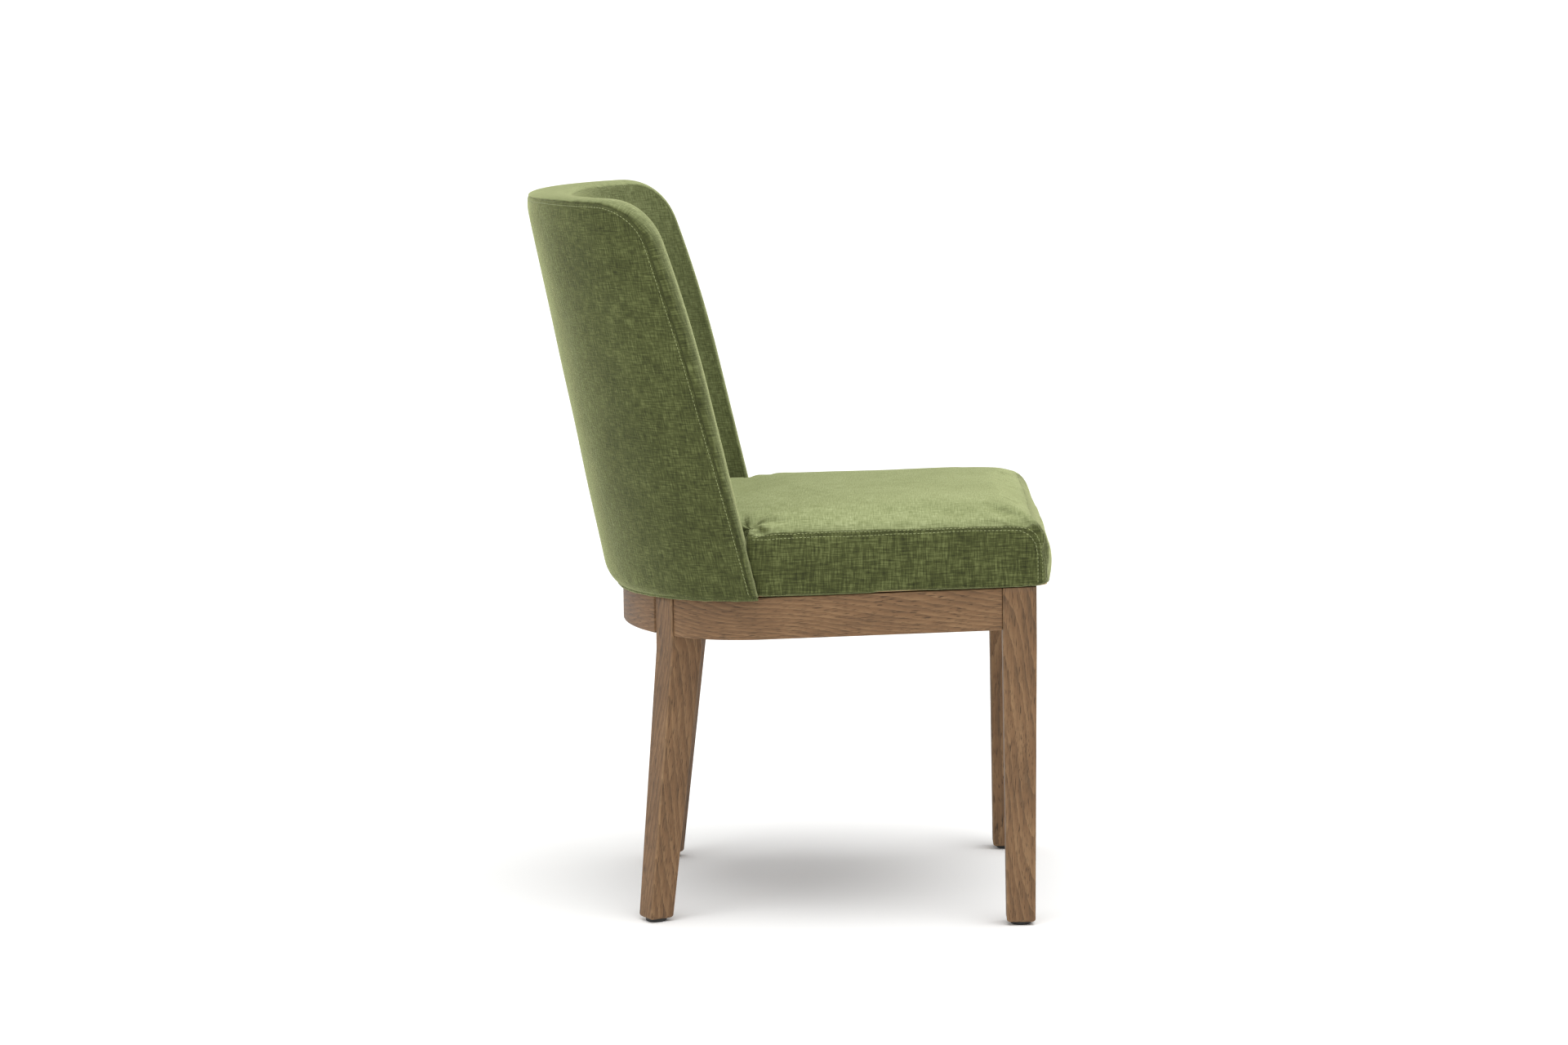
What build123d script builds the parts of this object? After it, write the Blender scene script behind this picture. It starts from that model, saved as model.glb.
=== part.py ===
from build123d import *
from math import atan2, cos, hypot, radians, sin, sqrt, tan
import os

# Upholstered dining chair with a wrapped tub back.
# Millimetres. +Z up, front towards -Y. Origin: middle of the chair's footprint box, on the floor.
# Right is +X. "Deck" is the sloping plane that the rails' tops lie in and the upholstery sits on.

# ---------------------------------------------------------------- overall
HEIGHT = 864.0               # floor to the top of the back
SEAT_WIDTH = 500.0           # across the cushion
SEAT_FRONT_Y = -311.5        # foremost face of the cushion
SHELL_APEX_Y = 223.5         # rearmost point of the back, where it meets the deck
DECK_Z = 397.0               # deck height at y = 0
DECK_SLOPE = 0.0297          # the deck falls this much per millimetre towards the rear

# ---------------------------------------------------------------- back
RAKE = 0.2008                # the back leans this much per millimetre of height
WING_PROUD = 8.0             # the back stands out past the cushion's side
CORNER_Y = 26.5              # where the straight sides turn into the corner arcs
SHELL_CORNER_RADIUS = 155.0  # plan radius of the back's outer corners
WING_THICKNESS = 38.0        # padding, shell and covers at the wings
CENTRE_THICKNESS = 58.0      # the same at the middle of the back
EDGE_FOOT_Y = 35.5           # the wing's front edge where it meets the deck line
EDGE_LEAN = 13.3             # degrees the wing's front edge leans back
EDGE_BEND_Z = 640.0          # height where the edge starts to curve back
EDGE_BEND_RADIUS = 1300.0
TOP_CORNER_RADIUS = 55.0     # side-view radius where the edge turns into the flat top
COVER = 1.5                  # fabric with its lining
WADDING = 5.0                # outer padding
SHELL_PLY = 10.0             # moulded plywood
SHELL_SETBACK = 14.0         # plywood edge behind the upholstered edge
SEAM_SETBACK = 12.0          # panel seams behind the upholstered edge

# ---------------------------------------------------------------- seat
SEAT_SIDE_RISE = 75.0        # deck to the side seam
SEAT_CROWN = 25.0            # the middle of the seat above the side seam
SHOULDER_RADIUS = 42.0       # roll of the front top edge
SHOULDER_LIFT = 1.0          # the roll ends this much above the crown, so that the two cross
SEAT_CORNER_RADIUS = 22.0    # plan radius of the front corners
SEAT_BOARD = 15.0            # plywood
BOARD_SETBACK = 7.0          # the board's edge in from the cushion's face, over the rails; foam wraps it
COVER_RETURN = 25.0          # cover folded under the board
SOFT_GAP = 0.5               # between cushion and back, and round the brackets' pockets
BOARD_GAP = 0.3              # between the board and the back's padding
VENT_RADIUS = 20.0
VENT_PITCH = 110.0
DUST_COVER = 0.8
STAPLE_WIDTH = 10.0
STAPLE_WIRE = 1.0
STAPLE_LEG = 6.0
STAPLE_PITCH = 45.0
STAPLE_MARGIN = 10.0         # staples in from the dust cover's edge
STAPLE_CORNER = 78.0         # the front row stops this far short of the side rows

# ---------------------------------------------------------------- frame
RAIL_SETBACK = 7.0           # rail face in from the cushion's side
RAIL_HEIGHT = 50.0
RAIL_THICKNESS = 22.0
RAIL_CORNER_RADIUS = 140.0   # plan radius of the bent rail, outside
RAIL_APEX_Y = 204.5          # rearmost point of the rear rail
LEG_PROUD = 2.0              # front leg faces stand out past the rails
FRONT_LEG_TOP = 40.0
FRONT_LEG_FOOT = 34.0
FRONT_LEG_FACE_Y = -291.5    # front face of the front legs at the top
REAR_LEG_TOP = 41.0
REAR_LEG_FOOT = 31.0
REAR_LEG_TURN = 30.0         # degrees the rear legs are turned about the vertical
REAR_LEG_SHIFT = 25.0        # along the rear arc, from its end towards the middle
REAR_LEG_SPLAY_X = 29.0      # foot centre outside the top centre
REAR_LEG_SPLAY_Y = 31.0      # foot centre behind the top centre
LEG_BLOCK = 20.0             # straight part of each leg below the rails
FOOT_CHAMFER = 4.0
LEG_EASE = 1.5               # rounded long edges
BLOCK_THICKNESS = 24.0
BLOCK_HEIGHT = 38.0
BLOCK_DROP = 6.0             # block top below the rail top
BLOCK_CLEARANCE = 2.5        # front blocks clear the leg's inner corner
REAR_BLOCK_REACH = 65.0      # from the rear leg's middle line towards the rear rail's middle

# ---------------------------------------------------------------- hardware
DOWEL_DIAMETER = 8.0
DOWEL_LENGTH = 40.0
DOWEL_PITCH = 26.0
LEG_BOLT_DIAMETER = 8.0
LEG_BOLT_BITE = 22.0         # thread in the leg
LEG_BOLT_TAIL = 14.0         # thread past the block
WASHER_DIAMETER = 20.0
WASHER_THICKNESS = 1.6
NUT_ACROSS_FLATS = 13.0
NUT_HEIGHT = 6.5
SCREW_DIAMETER = 4.5
SCREW_HEAD_DIAMETER = 9.0
SCREW_HEAD_HEIGHT = 3.0
SCREW_WAY_IN = 60.0          # drilled room behind a sunk head
BLOCK_SCREW_LENGTH = 32.0
BLOCK_SCREW_BITE = 14.0      # block screw in the rail
SEAT_SCREW_BITE = 11.0       # seat screw in the board
SEAT_SCREW_OFFSET = 9.0      # seat screw beside the hanger bolt
GLIDE_DIAMETER = 25.0
GLIDE_HEIGHT = 4.0
GLIDE_EDGE = 1.2
NAIL_DIAMETER = 2.6
NAIL_LENGTH = 18.0
NAIL_HEAD_DIAMETER = 7.8
NAIL_HEAD_HEIGHT = 1.3
NAIL_START = 1.5             # the nail's head inside the glide
BRACKET_WIDTH = 36.0
BRACKET_THICKNESS = 3.0
BRACKET_RISE = 55.0
BRACKET_REACH = 38.0
TOE_SCREW_REACH = 25.0       # the toe's screw in from the shell
BRACKET_BEARINGS = (0.0, 38.0, 66.0)   # degrees from the rear, centre, corner and wing
BOLT_DIAMETER = 6.0
BOLT_HEAD_DIAMETER = 11.0
BOLT_HEAD_HEIGHT = 3.3
BOLT_RISE = 34.0             # bolt above the board, up the bracket
TEE_NUT_DIAMETER = 18.0
TEE_NUT_FLANGE = 1.2
TEE_NUT_BARREL = 8.0
BOARD_SCREW_BITE = 11.0

# ---------------------------------------------------------------- derived
SEAT_HALF = SEAT_WIDTH / 2
SHELL_HALF = SEAT_HALF + WING_PROUD
RAIL_HALF = SEAT_HALF - RAIL_SETBACK
FRONT_LEG_X = RAIL_HALF + LEG_PROUD - FRONT_LEG_TOP / 2
FRONT_LEG_Y = FRONT_LEG_FACE_Y + FRONT_LEG_TOP / 2
FRONT_LEG_BACK_Y = FRONT_LEG_FACE_Y + FRONT_LEG_TOP
FRONT_RAIL_Y = FRONT_LEG_FACE_Y + LEG_PROUD
BOARD_BOTTOM = COVER
BOARD_TOP = COVER + SEAT_BOARD
PLY_OUTSIDE = COVER + WADDING
PLY_INSIDE = PLY_OUTSIDE + SHELL_PLY
FAR = 2 * (HEIGHT + SEAT_WIDTH)        # past every piece
UNDER = -RAIL_HEIGHT                   # rail bottoms, from the deck
RING_RUN = 150.0                       # straight ends of the back's plan, in front of the wings
RING_START_Y = CORNER_Y - RING_RUN
BRACKET_STRIP = 3 * BRACKET_REACH      # past both sides of a bracket


def deck(y):
    """Height of the deck plane at a distance y."""
    return DECK_Z - DECK_SLOPE * y


# ================================================================ shared shapes
def rear_arc(half_width, corner_radius, apex_y):
    """Radius, centre height and end bearing of the arc that closes a horseshoe at the rear.

    It touches both corner arcs: the distance between the centres is the difference of the radii.
    """
    centre_x = half_width - corner_radius
    reach = apex_y - CORNER_Y
    radius = (centre_x**2 + reach**2 - corner_radius**2) / (2 * (reach - corner_radius))
    centre_y = apex_y - radius
    return radius, centre_y, atan2(centre_x, CORNER_Y - centre_y)


def arch(half_width, corner_radius, apex_y, front_y):
    """Edges of a horseshoe: straight side, corner arc, rear arc, corner arc, straight side."""
    radius, centre_y, bearing = rear_arc(half_width, corner_radius, apex_y)
    half_turn = (radians(90) - bearing) / 2
    join_x = radius * sin(bearing)
    join_y = centre_y + radius * cos(bearing)
    middle_x = half_width - corner_radius * (1 - cos(half_turn))
    middle_y = CORNER_Y + corner_radius * sin(half_turn)
    edges = [Edge.make_three_point_arc((-join_x, join_y), (0, apex_y), (join_x, join_y))]
    for side in (-1, 1):
        turn = (side * half_width, CORNER_Y)
        edges.append(Edge.make_line((side * half_width, front_y), turn))
        edges.append(Edge.make_three_point_arc(turn, (side * middle_x, middle_y), (side * join_x, join_y)))
    return edges


def horseshoe(half_width, corner_radius, apex_y, front_y):
    """Plan face inside a horseshoe, closed straight across the front."""
    front = Edge.make_line((-half_width, front_y), (half_width, front_y))
    return Face(Wire(arch(half_width, corner_radius, apex_y, front_y) + [front]))


def horseshoe_ring(outside, inside, front_y):
    """Plan face between two horseshoes, each given as (half width, corner radius, apex)."""
    edges = arch(*outside, front_y) + arch(*inside, front_y)
    for side in (-1, 1):
        edges.append(Edge.make_line((side * outside[0], front_y), (side * inside[0], front_y)))
    return Face(Wire(edges))


def shell_outline(inset):
    """Outside of the back in plan, moved in by an inset."""
    return SHELL_HALF - inset, SHELL_CORNER_RADIUS - inset, SHELL_APEX_Y - inset


def sitter_outline(outset):
    """Inside face of the back in plan, moved out by an outset."""
    return (
        SHELL_HALF - WING_THICKNESS + outset,
        SHELL_CORNER_RADIUS - WING_THICKNESS + outset,
        SHELL_APEX_Y - CENTRE_THICKNESS + outset,
    )


def rail_outline(inset):
    """Outside of the rails in plan, moved in by an inset."""
    return RAIL_HALF - inset, RAIL_CORNER_RADIUS - inset, RAIL_APEX_Y - inset


def leaning(face):
    """A plan face drawn at deck height, carried along the back's rake from half way down the legs."""
    low = DECK_Z / 2
    placed = Pos(0, RAKE * (low - DECK_Z), low) * face
    return Solid.extrude(placed, Vector(0, RAKE * HEIGHT, HEIGHT))


def upright(face):
    """A plan face carried straight up through the whole chair."""
    return Solid.extrude(face, Vector(0, 0, FAR))


def across(points):
    """A side-view polygon of (y, z) points, carried across the whole width."""
    outline = Polyline(*points, close=True)
    return extrude(Plane.YZ * make_face(outline), amount=FAR, both=True)


def deck_layer(low, high):
    """Everything between two heights measured from the deck plane."""
    return across([(-FAR, deck(-FAR) + low), (FAR, deck(FAR) + low),
                   (FAR, deck(FAR) + high), (-FAR, deck(-FAR) + high)])


def rod(start, direction, length, diameter):
    """A round bar from a point along a direction."""
    return extrude(Plane(origin=start, z_dir=direction) * Circle(diameter / 2), amount=length)


def tube(start, direction, length, outer, inner):
    """A round collar from a point along a direction."""
    ring = Circle(outer / 2) - Circle(inner / 2)
    return extrude(Plane(origin=start, z_dir=direction) * ring, amount=length)


def moved(point, direction, distance):
    """A point moved along a direction."""
    return Vector(*point) + Vector(*direction).normalized() * distance


def pair(solid):
    """A piece and its mirror image across the middle of the chair."""
    return [mirror(solid, about=Plane.YZ), solid]


def cut_all(solid, tools):
    """A piece with several others taken out of it."""
    for tool in tools:
        solid = solid - tool
    return solid


# ================================================================ legs
def rear_leg_centre():
    """Plan centre of the right rear leg at the top: its rear face lies on the rail's rear arc."""
    radius, centre_y, bearing = rear_arc(*rail_outline(0))
    place = bearing - REAR_LEG_SHIFT / radius
    reach = radius - REAR_LEG_TOP / 2
    return reach * sin(place), centre_y + reach * cos(place)


def leg_face(bearing):
    """Outward direction of a rear leg face: the bearing turns from the rear face, clockwise from above."""
    angle = radians(REAR_LEG_TURN + bearing)
    return sin(angle), cos(angle), 0


def tapered_leg(top, foot, knee_z, top_at, foot_at, turn):
    """A square leg: straight through the rails, then tapering to the foot, with eased long edges."""
    tread = foot - 2 * FOOT_CHAMFER
    stages = [
        (tread, GLIDE_HEIGHT, foot_at),
        (foot, GLIDE_HEIGHT + FOOT_CHAMFER, foot_at),
        (top, knee_z, top_at),
    ]
    sections = [Pos(*at, z) * Rot(Z=turn) * RectangleRounded(size, size, LEG_EASE) for size, z, at in stages]
    block = extrude(sections[2], amount=HEIGHT) & deck_layer(-HEIGHT, 0)
    return loft(sections[:2]) + loft(sections[1:]) + block


def front_leg():
    """Right front leg, upright."""
    centre = (FRONT_LEG_X, FRONT_LEG_Y)
    knee_z = deck(FRONT_LEG_Y) - RAIL_HEIGHT - LEG_BLOCK
    return tapered_leg(FRONT_LEG_TOP, FRONT_LEG_FOOT, knee_z, centre, centre, 0)


def rear_foot_centre():
    """Plan centre of the right rear foot."""
    x, y = rear_leg_centre()
    return x + REAR_LEG_SPLAY_X, y + REAR_LEG_SPLAY_Y


def rear_leg():
    """Right rear leg, turned square to the bent rail and splayed out and back below it."""
    centre = rear_leg_centre()
    knee_z = deck(centre[1]) - RAIL_HEIGHT - LEG_BLOCK
    return tapered_leg(REAR_LEG_TOP, REAR_LEG_FOOT, knee_z, centre, rear_foot_centre(), -REAR_LEG_TURN)


def glide(centre):
    """A nail-on plastic glide under a foot."""
    disc = extrude(Pos(*centre) * Circle(GLIDE_DIAMETER / 2), amount=GLIDE_HEIGHT)
    return chamfer(disc.faces().sort_by(Axis.Z)[0].edges(), GLIDE_EDGE)


def glide_nail(centre):
    """The nail that holds a glide, its head inside the plastic."""
    head = rod((*centre, NAIL_START), (0, 0, 1), NAIL_HEAD_HEIGHT, NAIL_HEAD_DIAMETER)
    return head + rod((*centre, NAIL_START), (0, 0, 1), NAIL_LENGTH, NAIL_DIAMETER)


# ================================================================ rails
def beyond(point, direction):
    """Everything on the far side of a plane through a point."""
    return extrude(Plane(origin=point, z_dir=direction) * Rectangle(FAR, FAR), amount=FAR)


def rail_hoop():
    """The bent rail before it is cut between the legs."""
    ring = horseshoe_ring(rail_outline(0), rail_outline(RAIL_THICKNESS), FRONT_LEG_BACK_Y)
    return upright(ring) & deck_layer(UNDER, 0)


def rear_leg_side(bearing):
    """A point and direction on the face of the right rear leg that a rail butts against."""
    centre = rear_leg_centre()
    direction = leg_face(bearing)
    height = deck(centre[1]) - RAIL_HEIGHT / 2
    return moved((*centre, height), direction, REAR_LEG_TOP / 2), direction


def side_rail(hoop):
    """Right side rail, from the front leg round to the rear leg."""
    return (hoop & beyond(*rear_leg_side(90))).solid()


def rear_rail(hoop):
    """Bent rail between the rear legs."""
    point, direction = rear_leg_side(-90)
    mirrored = (-point.X, point.Y, point.Z), (-direction[0], direction[1], 0)
    return (hoop & beyond(point, direction) & beyond(*mirrored)).solid()


def front_rail():
    """Straight rail between the front legs."""
    length = 2 * (FRONT_LEG_X - FRONT_LEG_TOP / 2)
    plan = Pos(0, FRONT_RAIL_Y + RAIL_THICKNESS / 2) * Rectangle(length, RAIL_THICKNESS)
    return extrude(plan, amount=FAR) & deck_layer(UNDER, 0)


def joint_faces():
    """Centre and direction of every rail end on the right side, pointing out of the leg."""
    half = FRONT_LEG_TOP / 2
    rail_middle = RAIL_THICKNESS / 2
    side_x = RAIL_HALF - rail_middle
    front_y = FRONT_RAIL_Y + rail_middle
    drop = RAIL_HEIGHT / 2
    faces = [
        ((side_x, FRONT_LEG_BACK_Y, deck(FRONT_LEG_BACK_Y) - drop), (0, 1, 0)),
        ((FRONT_LEG_X - half, front_y, deck(front_y) - drop), (-1, 0, 0)),
    ]
    centre = rear_leg_centre()
    outward = leg_face(0)
    for bearing in (90, -90):
        point, direction = rear_leg_side(bearing)
        faces.append((moved(point, outward, REAR_LEG_TOP / 2 - rail_middle - LEG_PROUD), direction))
    return faces


def dowels():
    """Two dowels, one above the other, across every rail joint on the right side."""
    pins = []
    for point, direction in joint_faces():
        for height in (-DOWEL_PITCH / 2, DOWEL_PITCH / 2):
            start = moved(point, direction, -DOWEL_LENGTH / 2) + Vector(0, 0, height)
            pins.append(rod(start, direction, DOWEL_LENGTH, DOWEL_DIAMETER))
    return pins


# ================================================================ corner blocks
def block_layer():
    """The height that the corner blocks fill."""
    return deck_layer(-BLOCK_DROP - BLOCK_HEIGHT, -BLOCK_DROP)


def rail_inner_corner():
    """Plan corner where the inner faces of the right side rail and the front rail would meet."""
    return RAIL_HALF - RAIL_THICKNESS, FRONT_RAIL_Y + RAIL_THICKNESS


def front_block_reach():
    """How far along each rail, from their inner corner, the front block's near face starts."""
    side_x, front_y = rail_inner_corner()
    leg_reach = side_x - (FRONT_LEG_X - FRONT_LEG_TOP / 2) + FRONT_LEG_BACK_Y - front_y
    return leg_reach + BLOCK_CLEARANCE * sqrt(2)


def front_block():
    """Right front corner block: a mitred bar across the corner, clear of the leg."""
    side_x, front_y = rail_inner_corner()
    near = front_block_reach()
    far = near + BLOCK_THICKNESS * sqrt(2)
    outline = Polyline(
        (side_x - near, front_y), (side_x, front_y + near),
        (side_x, front_y + far), (side_x - far, front_y), close=True)
    return extrude(make_face(outline), amount=FAR) & block_layer()


def rear_block():
    """Right rear corner block: against the leg's inner face, its outer end scribed to the side rail."""
    centre = rear_leg_centre()
    inward = leg_face(180)
    middle = moved((*centre, 0), inward, (REAR_LEG_TOP + BLOCK_THICKNESS) / 2)
    strip = Pos((FAR - REAR_BLOCK_REACH) / 2) * Rectangle(FAR + REAR_BLOCK_REACH, BLOCK_THICKNESS)
    bar = Pos(middle) * Rot(Z=-REAR_LEG_TURN) * strip
    room = upright(horseshoe(*rail_outline(RAIL_THICKNESS), FRONT_LEG_BACK_Y))
    return (extrude(bar, amount=FAR) & room & block_layer()).solid()


def leg_bolt_axes():
    """Block face and direction into the leg for the two right hanger bolts."""
    diagonal = (1, -1, 0)
    inner = FRONT_LEG_TOP / 2
    corner = (FRONT_LEG_X - inner, FRONT_LEG_BACK_Y)
    drop = BLOCK_DROP + BLOCK_HEIGHT / 2
    front = moved((*corner, deck(corner[1]) - drop), diagonal, -BLOCK_CLEARANCE - BLOCK_THICKNESS)
    centre = rear_leg_centre()
    inward = leg_face(180)
    outward = leg_face(0)
    rear = moved((*centre, deck(centre[1]) - drop), inward, REAR_LEG_TOP / 2 + BLOCK_THICKNESS)
    return [(front, diagonal, BLOCK_CLEARANCE), (rear, outward, 0.0)]


def leg_bolts():
    """Hanger bolts from the corner blocks into the right legs."""
    bolts = []
    for face, direction, gap in leg_bolt_axes():
        length = LEG_BOLT_TAIL + BLOCK_THICKNESS + gap + LEG_BOLT_BITE
        bolts.append(rod(moved(face, direction, -LEG_BOLT_TAIL), direction, length, LEG_BOLT_DIAMETER))
    return bolts


def leg_washers():
    """Washers under the hanger bolts' nuts."""
    washers = []
    for face, direction, _ in leg_bolt_axes():
        start = moved(face, direction, -WASHER_THICKNESS)
        washers.append(tube(start, direction, WASHER_THICKNESS, WASHER_DIAMETER, LEG_BOLT_DIAMETER))
    return washers


def leg_nuts():
    """Hexagon nuts on the hanger bolts."""
    nuts = []
    for face, direction, _ in leg_bolt_axes():
        start = moved(face, direction, -WASHER_THICKNESS - NUT_HEIGHT)
        hexagon = RegularPolygon(NUT_ACROSS_FLATS / 2, 6, major_radius=False)
        hexagon -= Circle(LEG_BOLT_DIAMETER / 2)
        nuts.append(extrude(Plane(origin=start, z_dir=direction) * hexagon, amount=NUT_HEIGHT))
    return nuts


def screw(seat, direction, length):
    """A pan-head screw: its head lies behind the seat point, its shank runs along the direction."""
    head = rod(moved(seat, direction, -SCREW_HEAD_HEIGHT), direction, SCREW_HEAD_HEIGHT, SCREW_HEAD_DIAMETER)
    return head + rod(seat, direction, length, SCREW_DIAMETER)


def screw_room(seat, direction, length):
    """What a sunk screw takes out of the wood, with a way in behind its head."""
    way_in = rod(moved(seat, direction, -SCREW_WAY_IN), direction, SCREW_WAY_IN, SCREW_HEAD_DIAMETER)
    return way_in + rod(seat, direction, length, SCREW_DIAMETER)


def block_screw_seats():
    """Seats and directions of the right corner blocks' screws, each square to the rail it enters."""
    side_x, front_y = rail_inner_corner()
    sunk = BLOCK_SCREW_LENGTH - BLOCK_SCREW_BITE
    middle = front_block_reach() + BLOCK_THICKNESS * sqrt(2) / 2 - sunk / 2
    drop = BLOCK_DROP + BLOCK_HEIGHT / 2
    return [
        ((side_x - sunk, front_y + middle, deck(front_y + middle) - drop), (1, 0, 0)),
        ((side_x - middle, front_y + sunk, deck(front_y) - drop), (0, -1, 0)),
    ]


def seat_screw_seats():
    """Seats of the right screws that rise through the corner blocks into the seat board."""
    seats = []
    for face, direction, _ in leg_bolt_axes():
        place = moved(face, direction, BLOCK_THICKNESS / 2)
        sideways = Vector(*direction).cross(Vector(0, 0, 1)).normalized() * SEAT_SCREW_OFFSET
        spot = place + sideways
        seats.append((spot.X, spot.Y, deck(spot.Y) - BLOCK_DROP - BLOCK_HEIGHT))
    return seats


def seat_screw_length():
    """Shank length: through the block, the gap above it and into the board."""
    return BLOCK_HEIGHT + BLOCK_DROP + BOARD_BOTTOM + SEAT_SCREW_BITE


# ================================================================ back
def edge_curve(inset):
    """Side view of the back's free edge, moved in by an inset: (centre, radius, start, end) of both arcs.

    Angles are from the horizontal at the front, clockwise: a point at angle a is
    (centre y - radius cos a, centre z + radius sin a).
    """
    lean = radians(EDGE_LEAN)
    bend_y = EDGE_FOOT_Y + (EDGE_BEND_Z - DECK_Z) * tan(lean)
    bend_centre = (bend_y + EDGE_BEND_RADIUS * cos(lean), EDGE_BEND_Z - EDGE_BEND_RADIUS * sin(lean))
    corner_z = HEIGHT - TOP_CORNER_RADIUS
    between = EDGE_BEND_RADIUS - TOP_CORNER_RADIUS
    rise = corner_z - bend_centre[1]
    corner_y = bend_centre[0] - sqrt(between**2 - rise**2)
    meet = atan2(rise, bend_centre[0] - corner_y)
    return [
        (bend_centre, EDGE_BEND_RADIUS - inset, lean, meet),
        ((corner_y, corner_z), TOP_CORNER_RADIUS - inset, meet, radians(90)),
    ]


def on_arc(centre, radius, angle):
    """A point of the back's free edge, in side view."""
    return centre[0] - radius * cos(angle), centre[1] + radius * sin(angle)


def edge_at(height, inset):
    """How far back the straight part of the wing's edge lies at a height, moved in by an inset."""
    lean = radians(EDGE_LEAN)
    return EDGE_FOOT_Y + (height - DECK_Z) * tan(lean) + inset / cos(lean)


def edge_foot(inset, lift):
    """Where the wing's edge meets the line a lift above the deck."""
    slope = tan(radians(EDGE_LEAN))
    y = edge_at(DECK_Z + lift, inset) / (1 + DECK_SLOPE * slope)
    return y, deck(y) + lift


def back_slab(inset, lift):
    """Side view of the back carried across: leaning edge, bend, top corner, flat top, sloping foot."""
    bend, corner = edge_curve(inset)
    edges = []
    start = edge_foot(inset, lift)
    for centre, radius, first, last in (bend, corner):
        begin = on_arc(centre, radius, first)
        middle = on_arc(centre, radius, (first + last) / 2)
        end = on_arc(centre, radius, last)
        if not edges:
            edges.append(Edge.make_line(start, begin))
        edges.append(Edge.make_three_point_arc(begin, middle, end))
    back_top = (FAR, HEIGHT - inset)
    back_foot = (FAR, deck(FAR) + lift)
    edges.append(Edge.make_line(end, back_top))
    edges.append(Edge.make_line(back_top, back_foot))
    edges.append(Edge.make_line(back_foot, start))
    return extrude(Plane.YZ * Face(Wire(edges)), amount=FAR, both=True)


def board_room():
    """The seat board with its clearance, taken out of the back's padding and covers."""
    plan = horseshoe(*shell_outline(PLY_INSIDE - BOARD_GAP), RING_START_Y)
    return leaning(plan) & deck_layer(-RAIL_HEIGHT, BOARD_TOP + BOARD_GAP)


def back_layer(outside, inside, inset, lift):
    """One layer of the back between two plan outlines, stopping short of the free edge by an inset."""
    return leaning(horseshoe_ring(outside, inside, RING_START_Y)) & back_slab(inset, lift)


def back_shell():
    """Moulded plywood shell."""
    return back_layer(shell_outline(PLY_OUTSIDE), shell_outline(PLY_INSIDE), SHELL_SETBACK, COVER)


def back_wadding():
    """Padding outside the shell."""
    return back_layer(shell_outline(COVER), shell_outline(PLY_OUTSIDE), SHELL_SETBACK, COVER)


def back_core():
    """Everything inside the back's covers."""
    return back_layer(shell_outline(COVER), sitter_outline(COVER), COVER, COVER)


def back_skin():
    """The back's covers, before they are cut into panels at the seams."""
    return back_layer(shell_outline(0), sitter_outline(0), 0, 0) - back_core() - board_room()


def back_foam():
    """Foam inside the shell and round its edge."""
    return back_core() - back_shell() - back_wadding() - board_room()


def outer_zone():
    """The part of the skin that belongs to the outside panel."""
    ring = horseshoe_ring(shell_outline(-COVER), shell_outline(PLY_INSIDE), RING_START_Y)
    return leaning(ring) & back_slab(SEAM_SETBACK, -COVER)


def inner_zone():
    """The part of the skin that belongs to the sitter's side panel."""
    ring = horseshoe_ring(shell_outline(PLY_INSIDE), sitter_outline(-COVER), RING_START_Y)
    return leaning(ring) & back_slab(SEAM_SETBACK, -COVER)


# ================================================================ brackets between back and board
def shell_frame(bearing):
    """Foot point on the shell's inside face at a bearing, and the plan direction out of it."""
    half_width, corner_radius, apex_y = shell_outline(PLY_INSIDE)
    radius, centre_y, join = rear_arc(half_width, corner_radius, apex_y)
    angle = radians(bearing)
    if abs(angle) <= join:
        foot = (radius * sin(angle), centre_y + radius * cos(angle))
    else:
        foot = (half_width - corner_radius * (1 - sin(angle)), CORNER_Y + corner_radius * cos(angle))
    return foot, (sin(angle), cos(angle))


def bracket(bearing):
    """A steel angle bent to the shell's curve: one leaf up the plywood, one on the board."""
    foot, _ = shell_frame(bearing)
    inside = PLY_INSIDE + BRACKET_THICKNESS
    leaf_ring = horseshoe_ring(shell_outline(PLY_INSIDE), shell_outline(inside), RING_START_Y)
    leaf = leaning(leaf_ring) & deck_layer(BOARD_TOP, BOARD_TOP + BRACKET_RISE)
    shift = RAKE * BOARD_TOP
    reach = PLY_INSIDE + BRACKET_REACH
    toe_ring = horseshoe_ring(shell_outline(PLY_INSIDE), shell_outline(reach), RING_START_Y)
    toe = upright(Pos(0, shift, 0) * toe_ring) & deck_layer(BOARD_TOP, BOARD_TOP + BRACKET_THICKNESS)
    toe = toe & leaning(horseshoe(*shell_outline(PLY_INSIDE), RING_START_Y))
    across_shell = Pos(*foot) * Rot(Z=-bearing) * Rectangle(BRACKET_WIDTH, BRACKET_STRIP)
    return ((leaf + toe) & extrude(across_shell, amount=FAR)).solid()


def bolt_axis(bearing):
    """A point on the shell's inside face where the bolt passes, and the direction out, square to it."""
    foot, outward = shell_frame(bearing)
    height = BOARD_TOP + BOLT_RISE
    y = foot[1] + RAKE * (height - DECK_SLOPE * foot[1])
    point = (foot[0], y, deck(foot[1]) + height)
    direction = (outward[0], outward[1], -RAKE * outward[1])
    return point, direction


def bracket_bolt(bearing):
    """Button-head bolt from inside the bracket through the shell."""
    point, direction = bolt_axis(bearing)
    seat = moved(point, direction, -BRACKET_THICKNESS)
    head = rod(moved(seat, direction, -BOLT_HEAD_HEIGHT), direction, BOLT_HEAD_HEIGHT, BOLT_HEAD_DIAMETER)
    return head + rod(seat, direction, BRACKET_THICKNESS + SHELL_PLY, BOLT_DIAMETER)


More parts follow.
